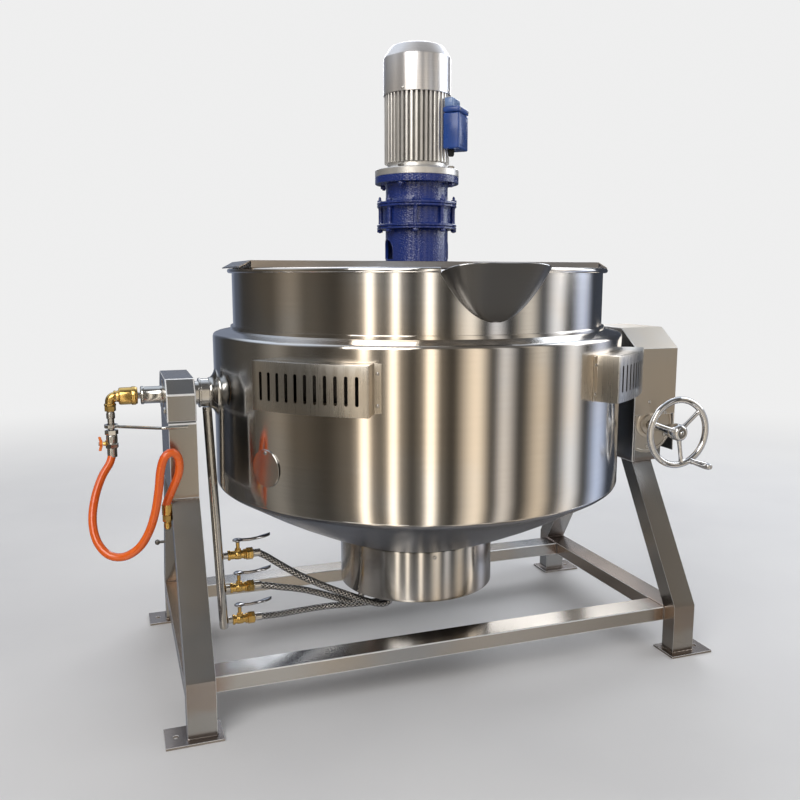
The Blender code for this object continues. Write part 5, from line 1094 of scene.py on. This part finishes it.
def make_manifold():
    top_x, low_x, top_z, low_z, r = -0.578, -0.553, TILT_Z - 0.0378, 0.096, 0.012
    top, low = Vector((top_x, 0, top_z)), Vector((low_x, 0, low_z))
    pts = [top.lerp(low, t) for t in (0, 0.003, 0.02, 0.25, 0.5, 0.75, 0.98, 0.996, 1.0)]
    radii = [0.0112, r, r, r, r, r, r, 0.0112, 0.0100]
    tube(
        KETTLE_PIPE, "gas_manifold_pipe", pts, radii, 40, sharp=30, nodes=("gas_manifold",))
    stem, crimp = at(-0.510, 0, 0), (0.0103, 0.0109)
    for number, z in enumerate((0.298, 0.206, 0.116), 1):
        pipe_x = top_x + (top_z - z) / (top_z - low_z) * (low_x - top_x)
        start = -pipe_x - r - 0.0009
        along = at(z=z) @ ALONG_MINUS_X
        body = mm(
            0, 0, 8, 0, 8, -10.5, 12.8, -11, 13.8, -12, 13.8, -16.5, 12.8, -17.5, 11.2, -18,
            lift=start)
        body += mm(
            11.2, 519, 12.6, 517.5, 13, 510, 12.6, 502.5, 11.2, 501, 11.2, 496, 12.8, 495.5,
            13.8, 494.5, 13.8, 490.5, 12.8, 489.3, 0, 489)
        lathe(
            KETTLE_BRASS, f"valve_body_{number}", body, along, 48, 40,
            nodes=(f"gas_valve_{number}",))
        inlet = mm(8.1, 0, 9.2, 0, 9.2, -10.4, 8.1, -10.4, lift=start)
        lathe(KETTLE_PIPE, f"valve_inlet_{number}", inlet, along, 40, closed=True)
        nut(KETTLE_BRASS, f"valve_nut_b_{number}", 0.0172, 0, 0.4705, 0.4886, along, 0.0013)
        neck = mm(
            0, 10, 8.2, 10, 8.2, 16.5, 7.4, 17.2, 5, 17.5, 5, 33.9, 0, 33.9, lift=z)
        lathe(KETTLE_BRASS, f"valve_stem_{number}", neck, stem, 32)
        foot = z + 0.0343
        hub = mm(
            0, 0, 6, 0, 6.8, 2, 10, 4, 13.8, 5.2, 14, 6.8, 12, 8.6, 7, 9.8, 0, 10, lift=foot)
        chrome = (f"lever_{number}", DARK_CHROME, "chrome")
        name = f"valve_lever_{number}"
        lathe(chrome, f"{name}_hub", hub, stem, 40, 60, nodes=(name,))
        put(lever_arm(f"{name}_arm", foot), *chrome)
        # crimped ferrules on both ends of the braided hose
        end = at(*BURNER_ROUTES[number - 1][-1][:2])
        ferrule(
            KETTLE_PIPE, f"braid_ferrule_{number}", 0.0092, crimp, 0.4695, 0.4505, 10, along, 40)
        ferrule(
            KETTLE_PIPE, f"inlet_ferrule_{number}", 0.0092, crimp, 0.1712, 0.1562, 8, end, 32)


def make_handwheel():
    cx, cz, y0, wheel_r = 0.660, 0.612, -0.300, 0.091
    ring = [(x, y0, z) for x, z in arc(cx, cz, wheel_r, 0, 356.25, 95)]
    tube(WHEEL_CHROME, "handwheel_rim", ring, 0.0089, 24, True, 80, ("handwheel",))
    placing = at(cx, 0, cz) @ ALONG_MINUS_Y
    hub = mm(
        12.3, 283.5, 21.5, 283.5, 22.8, 285, 23, 305, 21.5, 311.5, 17.5, 316, 15, 316.8,
        12.3, 316.8)
    lathe(WHEEL_CHROME, "handwheel_hub", hub, placing, 64, 50, True)
    shares = [i / 14 for i in range(15)]
    for k, angle in enumerate((40.0, 160.0, 280.0)):
        c, s = math.cos(math.radians(angle)), math.sin(math.radians(angle))
        pts = [(cx + c * (0.018 + t * 0.071), y0, cz + s * (0.018 + t * 0.071)) for t in shares]
        radii = [0.0058 + 0.0022 * (2 * t - 1) ** 4 for t in shares]
        tube(WHEEL_CHROME, f"handwheel_spoke_{k}", pts, radii, 20, sharp=80)
    # shaft from its bearing to the hub, with a set screw in front
    wear(NODES["worm_shaft"], PIPE)
    # black disc in the hub's bore round the set screw: painted shade
    recess = mm(0, 314.5, 11, 314.5, 12.2, 316, 12.2, 312, 0, 312)
    lathe(("tilt_handwheel", BLACK, "pipe_steel"), "wheel_hub_recess_shade", recess, placing, 40)
    tip = mm(0, 318.5, 4.2, 318.2, 5.6, 316.8, 5.6, 314.6, 0, 314.6)
    lathe(("tilt_handwheel", CHROME, "pipe_steel"), "wheel_set_screw", tip, placing, 32)
    collar = mm(
        12.4, 262, 17.5, 262, 18.5, 263, 18.5, 281.5, 17.5, 282.5, 12.4, 282.5)
    lathe(WHEEL_PIPE, "shaft_collar", collar, placing, 48, closed=True)
    # grip that turns on its pin
    (gx, gz), face = arc(cx, cz, wheel_r, -64, -64, 1)[0], 0.3093
    grip = at(gx, 0, gz) @ ALONG_MINUS_Y
    sleeve = mm(
        4.7, 0, 7.2, 0.2, 8.2, 2, 8.2, 6, 7.2, 8.5, 7.2, 14, 8.4, 34, 9.4, 52, 9.4, 64,
        8.4, 73.5, 6.4, 77.2, 4.7, 77.8, lift=face)
    lathe(
        ("wheel_grip", CHROME, "chrome"), "grip_sleeve", sleeve, grip, 48, 60, True,
        ("handwheel_grip",))
    pin = mm(0, 300, 4, 300) + mm(
        4, 78.2, 6.2, 78.4, 6.2, 80.3, 4.5, 81.2, 0, 81.2, lift=face)
    lathe(WHEEL_CHROME, "grip_pin", pin, grip, 32)
    # worm bearing flange with its bolts, lip and boss
    dress("worm_bearing", COVER, 0.0008, 2)
    for k, angle in ((1, 90), (2, 30), (3, -30), (4, -90)):
        x, z = arc(cx, cz, 0.066, angle, angle, 1)[0]
        nut(
            STAND_SCREW, f"flange_bolt_{k}", 0.0062, 14 * k, 0.1614, 0.1660,
            at(x, 0, z) @ ALONG_MINUS_Y)
    lip = [(x, -0.1616, z) for x, z in arc(cx, cz, 0.0780, -116, 116, 40)]
    tube(STAND_COVER, "worm_flange_lip", lip, 0.0026, 12)
    boss = mm(
        13, 161.4, 40, 161.4, 38.5, 164, 34, 166.2, 29.5, 167.5, 29, 172.5, 27.5, 174.5,
        16.5, 175, 15.5, 173.5, 13, 173.5)
    lathe(STAND_COVER, "worm_bearing_boss", boss, placing, 56, 40, True)


make_stand()
make_trunnions()
make_gas_line()
make_manifold()
make_handwheel()


# Bridge, drive and stirrer
def ring_of(radius, many, z, share=0.0):
    """Spots evenly round the pot's axis, turned on by a share of their spacing."""
    turns = [2 * math.pi * (k + share) / many for k in range(many)]
    return [(radius * math.cos(a), radius * math.sin(a), z) for a in turns]


def make_bridge():
    dress("bridge", BRIDGE, 0.0010, 2)
    # weld beads where the bridge's end flaps rest on the rim
    for sx in (-1, 1):
        line = [(sx * 0.5085, -0.140 + 0.28 * k / 30, 1.0612) for k in range(31)]
        line = [p for p in line if math.hypot(p[0], p[1]) < 0.525]
        name = f"bridge_weld_{'lr'[sx > 0]}"
        weld(("kettle", BRIDGE, "sheet_steel"), name, line, 0.0014, 0.0003, 1.7)


def make_lantern():
    r, wall, window, lip = 0.085, 0.007, 0.030, 0.0318
    low, spring = BRIDGE_TOP + 0.0014, 1.1058
    profile = mm(78, 0.2, 83.8, 0.2, lift=BRIDGE_TOP)
    profile += [(r, low + (1.1600 - low) * k / 8) for k in range(9)]
    profile += [(r - 0.0008, 1.1626), (r - wall, 1.1626)]
    lantern = turned("drive_lantern_shell", profile, steps=128, closed=True)
    outline = [(-window, 1.0838), (window, 1.0838), (window, spring)]
    outline += arc(0, spring, window, 10, 170, 16) + [(-window, spring)]
    cut(lantern, *[
        slab("arch", outline, 0.05, 0.10, about(turn) @ ALONG_MINUS_Y) for turn in (90, -90)
    ])
    bevelled(lantern, 0.0012, 2, 40)
    put(lantern, *KETTLE_BLUE, ("drive_lantern",))
    # raised lip round each window
    points = [(-lip, 1.0845), (-lip, 1.095), (-lip, spring)]
    points += arc(0, spring, lip, 168, 12, 13)
    points += [(lip, spring), (lip, 1.095), (lip, 1.0845)]
    for number, turn in enumerate((90, -90)):
        loop = [
            about(turn) @ Vector((x, -math.sqrt(r * r - x * x) - 0.0002, z)) for x, z in points
        ]
        tube(KETTLE_BLUE, f"lantern_lip_{number}", loop, 0.0013)


def make_reducer():
    def disc(low, high, root):
        r, e = 0.1080, 0.0010
        return [(root, low), (r - e, low), (r, low + e), (r, high - e), (r - e, high), (root, high)]

    body = [(0.0160, 1.1632)] + disc(1.1632, 1.1688, 0.1020) + disc(1.1702, 1.1762, 0.0960)
    body += mm(93.6, 1178.5, 93, 1182, 93, 1215, 93.6, 1219)
    body += disc(1.2218, 1.2276, 0.0960) + disc(1.2290, 1.2350, 0.1020)[:-1]
    body += mm(
        90.5, 1235, 87, 1237.5, 85, 1242, 84, 1250, 84, 1272, 85, 1278, 86.5, 1282.6, 16, 1282.6)
    lathe(
        KETTLE_BLUE, "reducer_shell", body, steps=128, sharp=26, closed=True,
        nodes=("reducer_housing",))
    # studs through both rings with a nut at each end, and a cast boss behind each
    stud = mm(
        0, 1154.7, 3, 1154.7, 3.8, 1155.5, 3.8, 1247.5, 1.6, 1251.5, 0, 1251.5)
    boss = mm(
        0, 1176.4, 7.2, 1176.4, 6.2, 1179, 5.8, 1185, 5.8, 1213, 6.2, 1219, 7.2, 1221.6,
        0, 1221.6)
    for k, spot in enumerate(ring_of(0.1005, 8, 0, 0.5)):
        place = at(*spot)
        lathe(KETTLE_BLUE, f"reducer_stud_{k}", stud, place, 20)
        nut(KETTLE_BLUE, f"reducer_nut_low_{k}", 0.0078, 17 * k, 1.1564, 1.1630, place)
        nut(KETTLE_BLUE, f"reducer_nut_top_{k}", 0.0078, 23 * k, 1.2352, 1.2418, place)
        lathe(KETTLE_BLUE, f"reducer_boss_{k}", boss, about(22.5 + 45 * k) @ at(0.0985), 20)


def make_fins():
    """The motor's frame with rounded fins in one mesh, and painted shade in the grooves between them."""
    count, core_r = 42, 0.070
    fin = (
        (-0.98, 0.0780), (-0.72, 0.0780), (-0.62, 0.0790), (-0.50, 0.0865), (-0.34, 0.0875),
        (0.34, 0.0875), (0.50, 0.0865), (0.62, 0.0790), (0.72, 0.0780))
    outline = []
    for k in range(count):
        for share, r in fin:
            a = math.radians((360 * k + 180 * share) / count)
            outline.append((r * math.cos(a), r * math.sin(a)))
    rows = ((1.3364, 0.985), (1.3376, 1.0), (1.5238, 1.0), (1.5250, 0.985))
    verts = [(x * scale, y * scale, z) for z, scale in rows for x, y in outline]
    for z in (rows[0][0], rows[-1][0]):
        for x, y in outline:
            inwards = core_r / math.hypot(x, y)
            verts.append((x * inwards, y * inwards, z))
    n = len(outline)
    faces = quads(4, n) + quads(2, n, start=4 * n)
    for k in range(n):
        j = (k + 1) % n
        faces.append((k, 4 * n + k, 4 * n + j, j))
        faces.append((3 * n + k, 3 * n + j, 5 * n + j, 5 * n + k))

    def is_groove(face):
        middle = face.center - SHIFT.translation
        return middle.xy.length < 0.0800 and abs(face.normal.z) < 0.5

    fins = put(from_faces("motor_fins", verts, faces, 30), *KETTLE_SILVER)
    # faces deep between the fins wear a dark copy of the aluminium: painted shade
    add_material(fins, GROOVE_SHADE, is_groove)


def make_motor():
    low_ring = mm(
        80, 1283.2, 111.5, 1283.2, 113, 1284.5, 113, 1301, 112.2, 1301.8, 80, 1301.8)
    lathe(KETTLE_BLUE, "motor_flange_low", low_ring, steps=128, sharp=28, closed=True)
    high_ring = mm(
        80, 1302, 112.2, 1302, 113, 1302.8, 113, 1318, 111.5, 1319.6, 86.5, 1320, 83.5, 1321.5,
        81.5, 1325, 80, 1330, 80, 1335.2, 79, 1336.2, 60, 1336.2, 60, 1320, 80, 1320)
    lathe(
        KETTLE_SILVER, "motor_flange_high", high_ring, steps=128, sharp=28, closed=True,
        nodes=("motor_body",))
    stud = mm(0, 1272.5, 3.6, 1272.5, 4.3, 1273.2, 4.3, 1276.2, 0, 1276.2)
    for k in range(4):
        place = about(45 + 90 * k) @ at(0.1000)
        nut(KETTLE_SCREW, f"flange_bolt_high_{k}", 0.0088, 12 * k, 1.3202, 1.3272, place, 0.0009)
        nut(KETTLE_BLUE, f"flange_nut_low_{k}", 0.0088, 25 * k, 1.2760, 1.2830, place, 0.0009)
        lathe(KETTLE_BLUE, f"flange_stud_low_{k}", stud, place, 20)
    make_fins()
    # rear end shield and the fan cover over it
    shield = mm(
        30, 1525.2, 83.5, 1525.2, 84.5, 1526.2, 84.5, 1532, 82, 1534.5, 60, 1537, 30, 1538)
    lathe(KETTLE_SILVER, "motor_rear_shield", shield, steps=96, closed=True)
    shell = mm(
        88.6, 1512.2, 89.3, 1512, 90, 1513, 90, 1604, 89.6, 1605.8, 88.6, 1607.8, 73.8, 1631.8,
        72.2, 1633.7, 69.5, 1635.2, 56, 1640.5, 40, 1644, 20, 1645.7, 0, 1646, 0, 1644.6,
        19.8, 1644.3, 39.6, 1642.6, 55.3, 1639.2, 68.6, 1633.9, 71.2, 1632.5, 72.5, 1631,
        87.4, 1607, 88.4, 1605.2, 88.6, 1604)
    cover = turned("fan_cover_shell", shell, steps=128, closed=True)
    rings = (
        (0.018, 6, 0, 0.0034), (0.031, 12, 0.5, 0.0034), (0.044, 18, 0, 0.0034),
        (0.056, 24, 0.5, 0.0030))
    cut(cover, *[
        pegs("grille_holes", ring_of(r, many, 1.644, share), size, size, 0.02)
        for r, many, share, size in rings
    ])
    put(cover, "kettle", SPUN, "motor_aluminium", ("fan_cover",))
    for k in range(4):
        screw(f"fan_cover_screw_{k}", 0.0901, 45 + 90 * k, 1.5195, 0.0042, 0.0024)


def make_terminal_box():
    turn, low, high, half, back = about(48), 1.368, 1.474, 0.039, -0.0882
    brick(
        KETTLE_BOX, "terminal_box_case", (-half, -0.1318, low), (half, back, high - 0.0155),
        0.0040, turn, nodes=("terminal_box",))
    brick(
        KETTLE_BOX, "terminal_box_cap", (-half - 0.0012, -0.1330, high - 0.0145),
        (half + 0.0012, back, high), 0.0040, turn)
    head = mm(0, 1.6, 2.4, 1.4, 3.4, 0.5, 3.4, 0, 0, 0)
    for k, x in enumerate((-0.031, 0.031)):
        place = turn @ at(x, -0.1330, high - 0.0072) @ ALONG_MINUS_Y
        lathe(KETTLE_SCREW, f"cap_screw_{k}", head, place, 20)
    # raised panel on the outer face
    brick(
        KETTLE_BOX, "terminal_box_panel", (-half + 0.008, -0.1328, low + 0.010),
        (half - 0.008, -0.1312, high - 0.024), 0.0007, turn, 2)
    # lighter neck above the box and the cable gland below it
    brick(
        ("kettle", BLUE_LIGHT, "blue_paint"), "terminal_box_neck",
        (-0.030, -0.1120, high + 0.0004), (0.030, back, 1.4985), 0.0030, turn)
    dark, place = ("kettle", BLACK, "blue_paint"), turn @ at(-0.018, -0.1040)
    gland = mm(
        0, 1350, 5.5, 1350, 6.5, 1351, 7.8, 1353.5, 8.2, 1361, 6, 1361.2, 6, 1367.8, 0, 1367.8)
    lathe(dark, "cable_gland", gland, place, 32)
    nut(dark, "gland_nut", 0.0098, 5, 1.3612, 1.3672, place)


def make_stirrer():
    shaft = mm(0, 446.2, 18.5, 446.2, 20, 447.6, 20, 1198.5, 19, 1200, 0, 1200)
    lathe(
        STIRRER_PIPE, "stirrer_shaft_turned", shaft, steps=64, sharp=36,
        nodes=("stirrer_shaft",))
    dress("stirrer_anchor", POT_INSIDE, 0.0012, 2)
    # white plastic scrapers: two on each upright arm, one on each side of the dish
    tilt = math.degrees(math.atan2(0.1416 / 0.230 ** 2, 0.3704 / 0.470 ** 2))
    thick, long = 0.0049, 0.0429
    white = ("stirrer", PLASTIC, "pot_steel")
    for side, turn in (("right", 0), ("left", 180)):
        for level, z in (("low", 0.710), ("high", 0.816)):
            brick(
                white, f"scraper_{level}_{side}", (0.4711, -thick, -long),
                (0.4929, thick, long), 0.0014, about(turn) @ at(z=z), 2)
        dish = about(turn) @ at(0.3704, 0, 0.5184) @ about(tilt, "Y")
        brick(
            white, f"scraper_dish_{side}", (0.0010, -thick, -long), (0.0152, thick, long),
            0.0014, dish, 2)
    # the shaft's coupling inside the lantern with its two bolts
    coupling = mm(
        20.2, 1092, 33.5, 1092, 34.5, 1093.2, 34.5, 1127, 33.5, 1128.2, 20.2, 1128.2)
    lathe(STIRRER_PIPE, "stirrer_coupling", coupling, steps=64, sharp=36, closed=True)
    for k, z in enumerate((1.1000, 1.1190)):
        nut(
            ("stirrer", SCREW, "pipe_steel"), f"coupling_bolt_{k}", 0.0052, 9, 0.0344, 0.0384,
            about(90 + 70 * k) @ at(z=z) @ ALONG_MINUS_Y, 0.0006)
    # shaft seal on the bridge
    seal = mm(20.6, -1.5, 27.2, -1.5, 27.2, 6, 26.2, 7.2, 20.6, 7.2, lift=BRIDGE_TOP)
    lathe(("kettle", BLACK, "pipe_steel"), "shaft_seal", seal, steps=64, closed=True)


def make_burner():
    dress("burner_rings", IRON, 0.0006, 2)
    spots = []
    for radius, many in ((0.070, 24), (0.125, 42), (0.175, 60)):
        spots += ring_of(radius, many, 0.2725)
    put(pegs("burner_jets", spots, 0.0024, 0.0015, 0.0030), "kettle", BRASS, "burner_iron")


make_bridge()
make_lantern()
make_reducer()
make_motor()
make_terminal_box()
make_stirrer()
make_burner()


# Floor, backdrop and light
WARM, PLAIN, COOL = (1.0, 0.89, 0.74), (1.0, 0.97, 0.94), (0.78, 0.88, 1.12)
# where the studio's upright panels stand, as shares of a turn from behind the kettle
# clockwise past its left side, with their brightness and tint
PANELS = (
    (0.000, 0.07, COOL), (0.060, 0.30, COOL), (0.100, 0.12, COOL), (0.146, 0.05, PLAIN),
    (0.230, 0.09, WARM), (0.281, 0.26, WARM), (0.315, 0.11, WARM), (0.365, 0.06, WARM),
    (0.402, 0.14, WARM), (0.412, 0.30, WARM), (0.425, 2.40, WARM), (0.438, 0.24, WARM),
    (0.450, 0.14, WARM), (0.456, 0.30, WARM), (0.467, 2.40, WARM), (0.478, 0.24, WARM),
    (0.494, 0.06, WARM), (0.508, 0.20, WARM), (0.521, 2.20, WARM), (0.535, 0.16, WARM),
    (0.552, 0.05, WARM), (0.588, 1.15, WARM), (0.612, 0.06, PLAIN), (0.630, 0.80, PLAIN),
    (0.656, 0.05, PLAIN), (0.692, 0.75, WARM), (0.720, 0.10, PLAIN), (0.753, 1.00, PLAIN),
    (0.786, 0.07, PLAIN), (0.824, 0.80, COOL), (0.872, 0.06, COOL), (1.000, 0.07, COOL),
)


def studio_band(m, vector):
    """Soft panels round the studio: bright, warm and dark upright bands by compass direction."""
    x, y, _ = m.xyz(vector)
    turn = m.math("DIVIDE", m.math("ARCTAN2", y, x), 2 * math.pi)
    share = m.math("FRACT", m.math("ADD", turn, 1.0 - 69.5 / 360))
    brightest = 3.0
    stops = [(pos, tuple(glow * t / brightest for t in tint)) for pos, glow, tint in PANELS]
    scaled = m.add("ShaderNodeVectorMath", operation="SCALE")
    scaled.inputs["Scale"].default_value = brightest
    m.feed(scaled.inputs[0], m.ramp(share, stops, "EASE"))
    return scaled.outputs[0]


def make_world():
    world = bpy.data.worlds.new("studio")
    bpy.context.scene.world = world
    world.use_nodes = True
    m = Mat.__new__(Mat)
    m.n, m.l = world.node_tree.nodes, world.node_tree.links
    direction = m.add("ShaderNodeTexCoord").outputs["Generated"]
    band = studio_band(m, direction)
    _, y, z = m.xyz(direction)
    above = m.mix(m.span(y, -0.25, 0.35), (0.13, 0.125, 0.12), (0.82, 0.90, 1.02))
    lit = m.mix(m.span(z, 0.30, 0.62), band, above)
    rays = m.add("ShaderNodeLightPath")
    shiny = m.math("MAXIMUM", rays.outputs["Is Glossy Ray"], rays.outputs["Is Transmission Ray"])
    plain = m.mix(rays.outputs["Is Camera Ray"], (0.42, 0.42, 0.42), (0.86, 0.86, 0.86))
    back = m.n["Background"]
    m.feed(back.inputs["Color"], m.mix(shiny, plain, lit))
    back.inputs["Strength"].default_value = 1.0


def make_floor():
    bm = bmesh.new()
    bmesh.ops.create_circle(bm, cap_ends=True, segments=96, radius=14.0)
    bmesh.ops.translate(bm, vec=(0, 0, -0.0004), verts=bm.verts)
    floor = mesh_object("studio_floor", bm)
    light, dark = (0.74, 0.74, 0.75), (0.70, 0.70, 0.715)
    m = Mat("studio_floor_paint", light, 0.55, 0.0)
    m.set("Base Color", m.mix(m.span(m.noise(1.5), 0.3, 0.7), light, dark))
    m.set("Specular IOR Level", 0.3)
    out = m.n["Material Output"]
    x, y, _ = m.xyz()
    far = m.math("SQRT", m.math("ADD", m.math("MULTIPLY", x, x), m.math("MULTIPLY", y, y)))
    rays = m.add("ShaderNodeLightPath")
    gone = m.math("MULTIPLY", m.span(far, 0.45, 1.4, 0.5, 1.0), rays.outputs["Is Glossy Ray"])
    clear = m.add("ShaderNodeBsdfTransparent")
    mixed = m.add("ShaderNodeMixShader")
    for i, value in enumerate((gone, m.b.outputs[0], clear.outputs[0])):
        m.feed(mixed.inputs[i], value)
    haze = m.add("ShaderNodeEmission")
    m.feed(haze.inputs["Color"], (0.86, 0.86, 0.86))
    blend = m.add("ShaderNodeMixShader")
    seen = m.math("MULTIPLY", m.span(far, 1.6, 5.0), rays.outputs["Is Camera Ray"])
    for i, value in enumerate((seen, mixed.outputs[0], haze.outputs[0])):
        m.feed(blend.inputs[i], value)
    m.feed(out.inputs["Surface"], blend.outputs[0])
    wear(floor, m)


def lamp(name, place, target, size, power, color=(1, 1, 1)):
    data = bpy.data.lights.new(name, "AREA")
    data.shape = "RECTANGLE"
    data.size, data.size_y = size
    data.energy = power
    data.color = color
    obj = linked(name, data)
    obj.location = place
    obj.rotation_euler = (Vector(target) - Vector(place)).to_track_quat("-Z", "Y").to_euler()


make_world()
make_floor()
lamp("key_lamp", (-2.6, -3.0, 3.6), (0, 0, 0.7), (2.8, 2.8), 110, (1.0, 0.98, 0.95))
lamp("fill_lamp", (4.0, -0.4, 2.6), (0, 0, 0.6), (2.8, 3.0), 62, (0.94, 0.97, 1.0))
lamp("rim_lamp", (1.5, 3.4, 3.0), (0, 0, 0.8), (3.2, 2.4), 74, (0.97, 0.98, 1.0))
bpy.context.scene.view_settings.view_transform = "Standard"
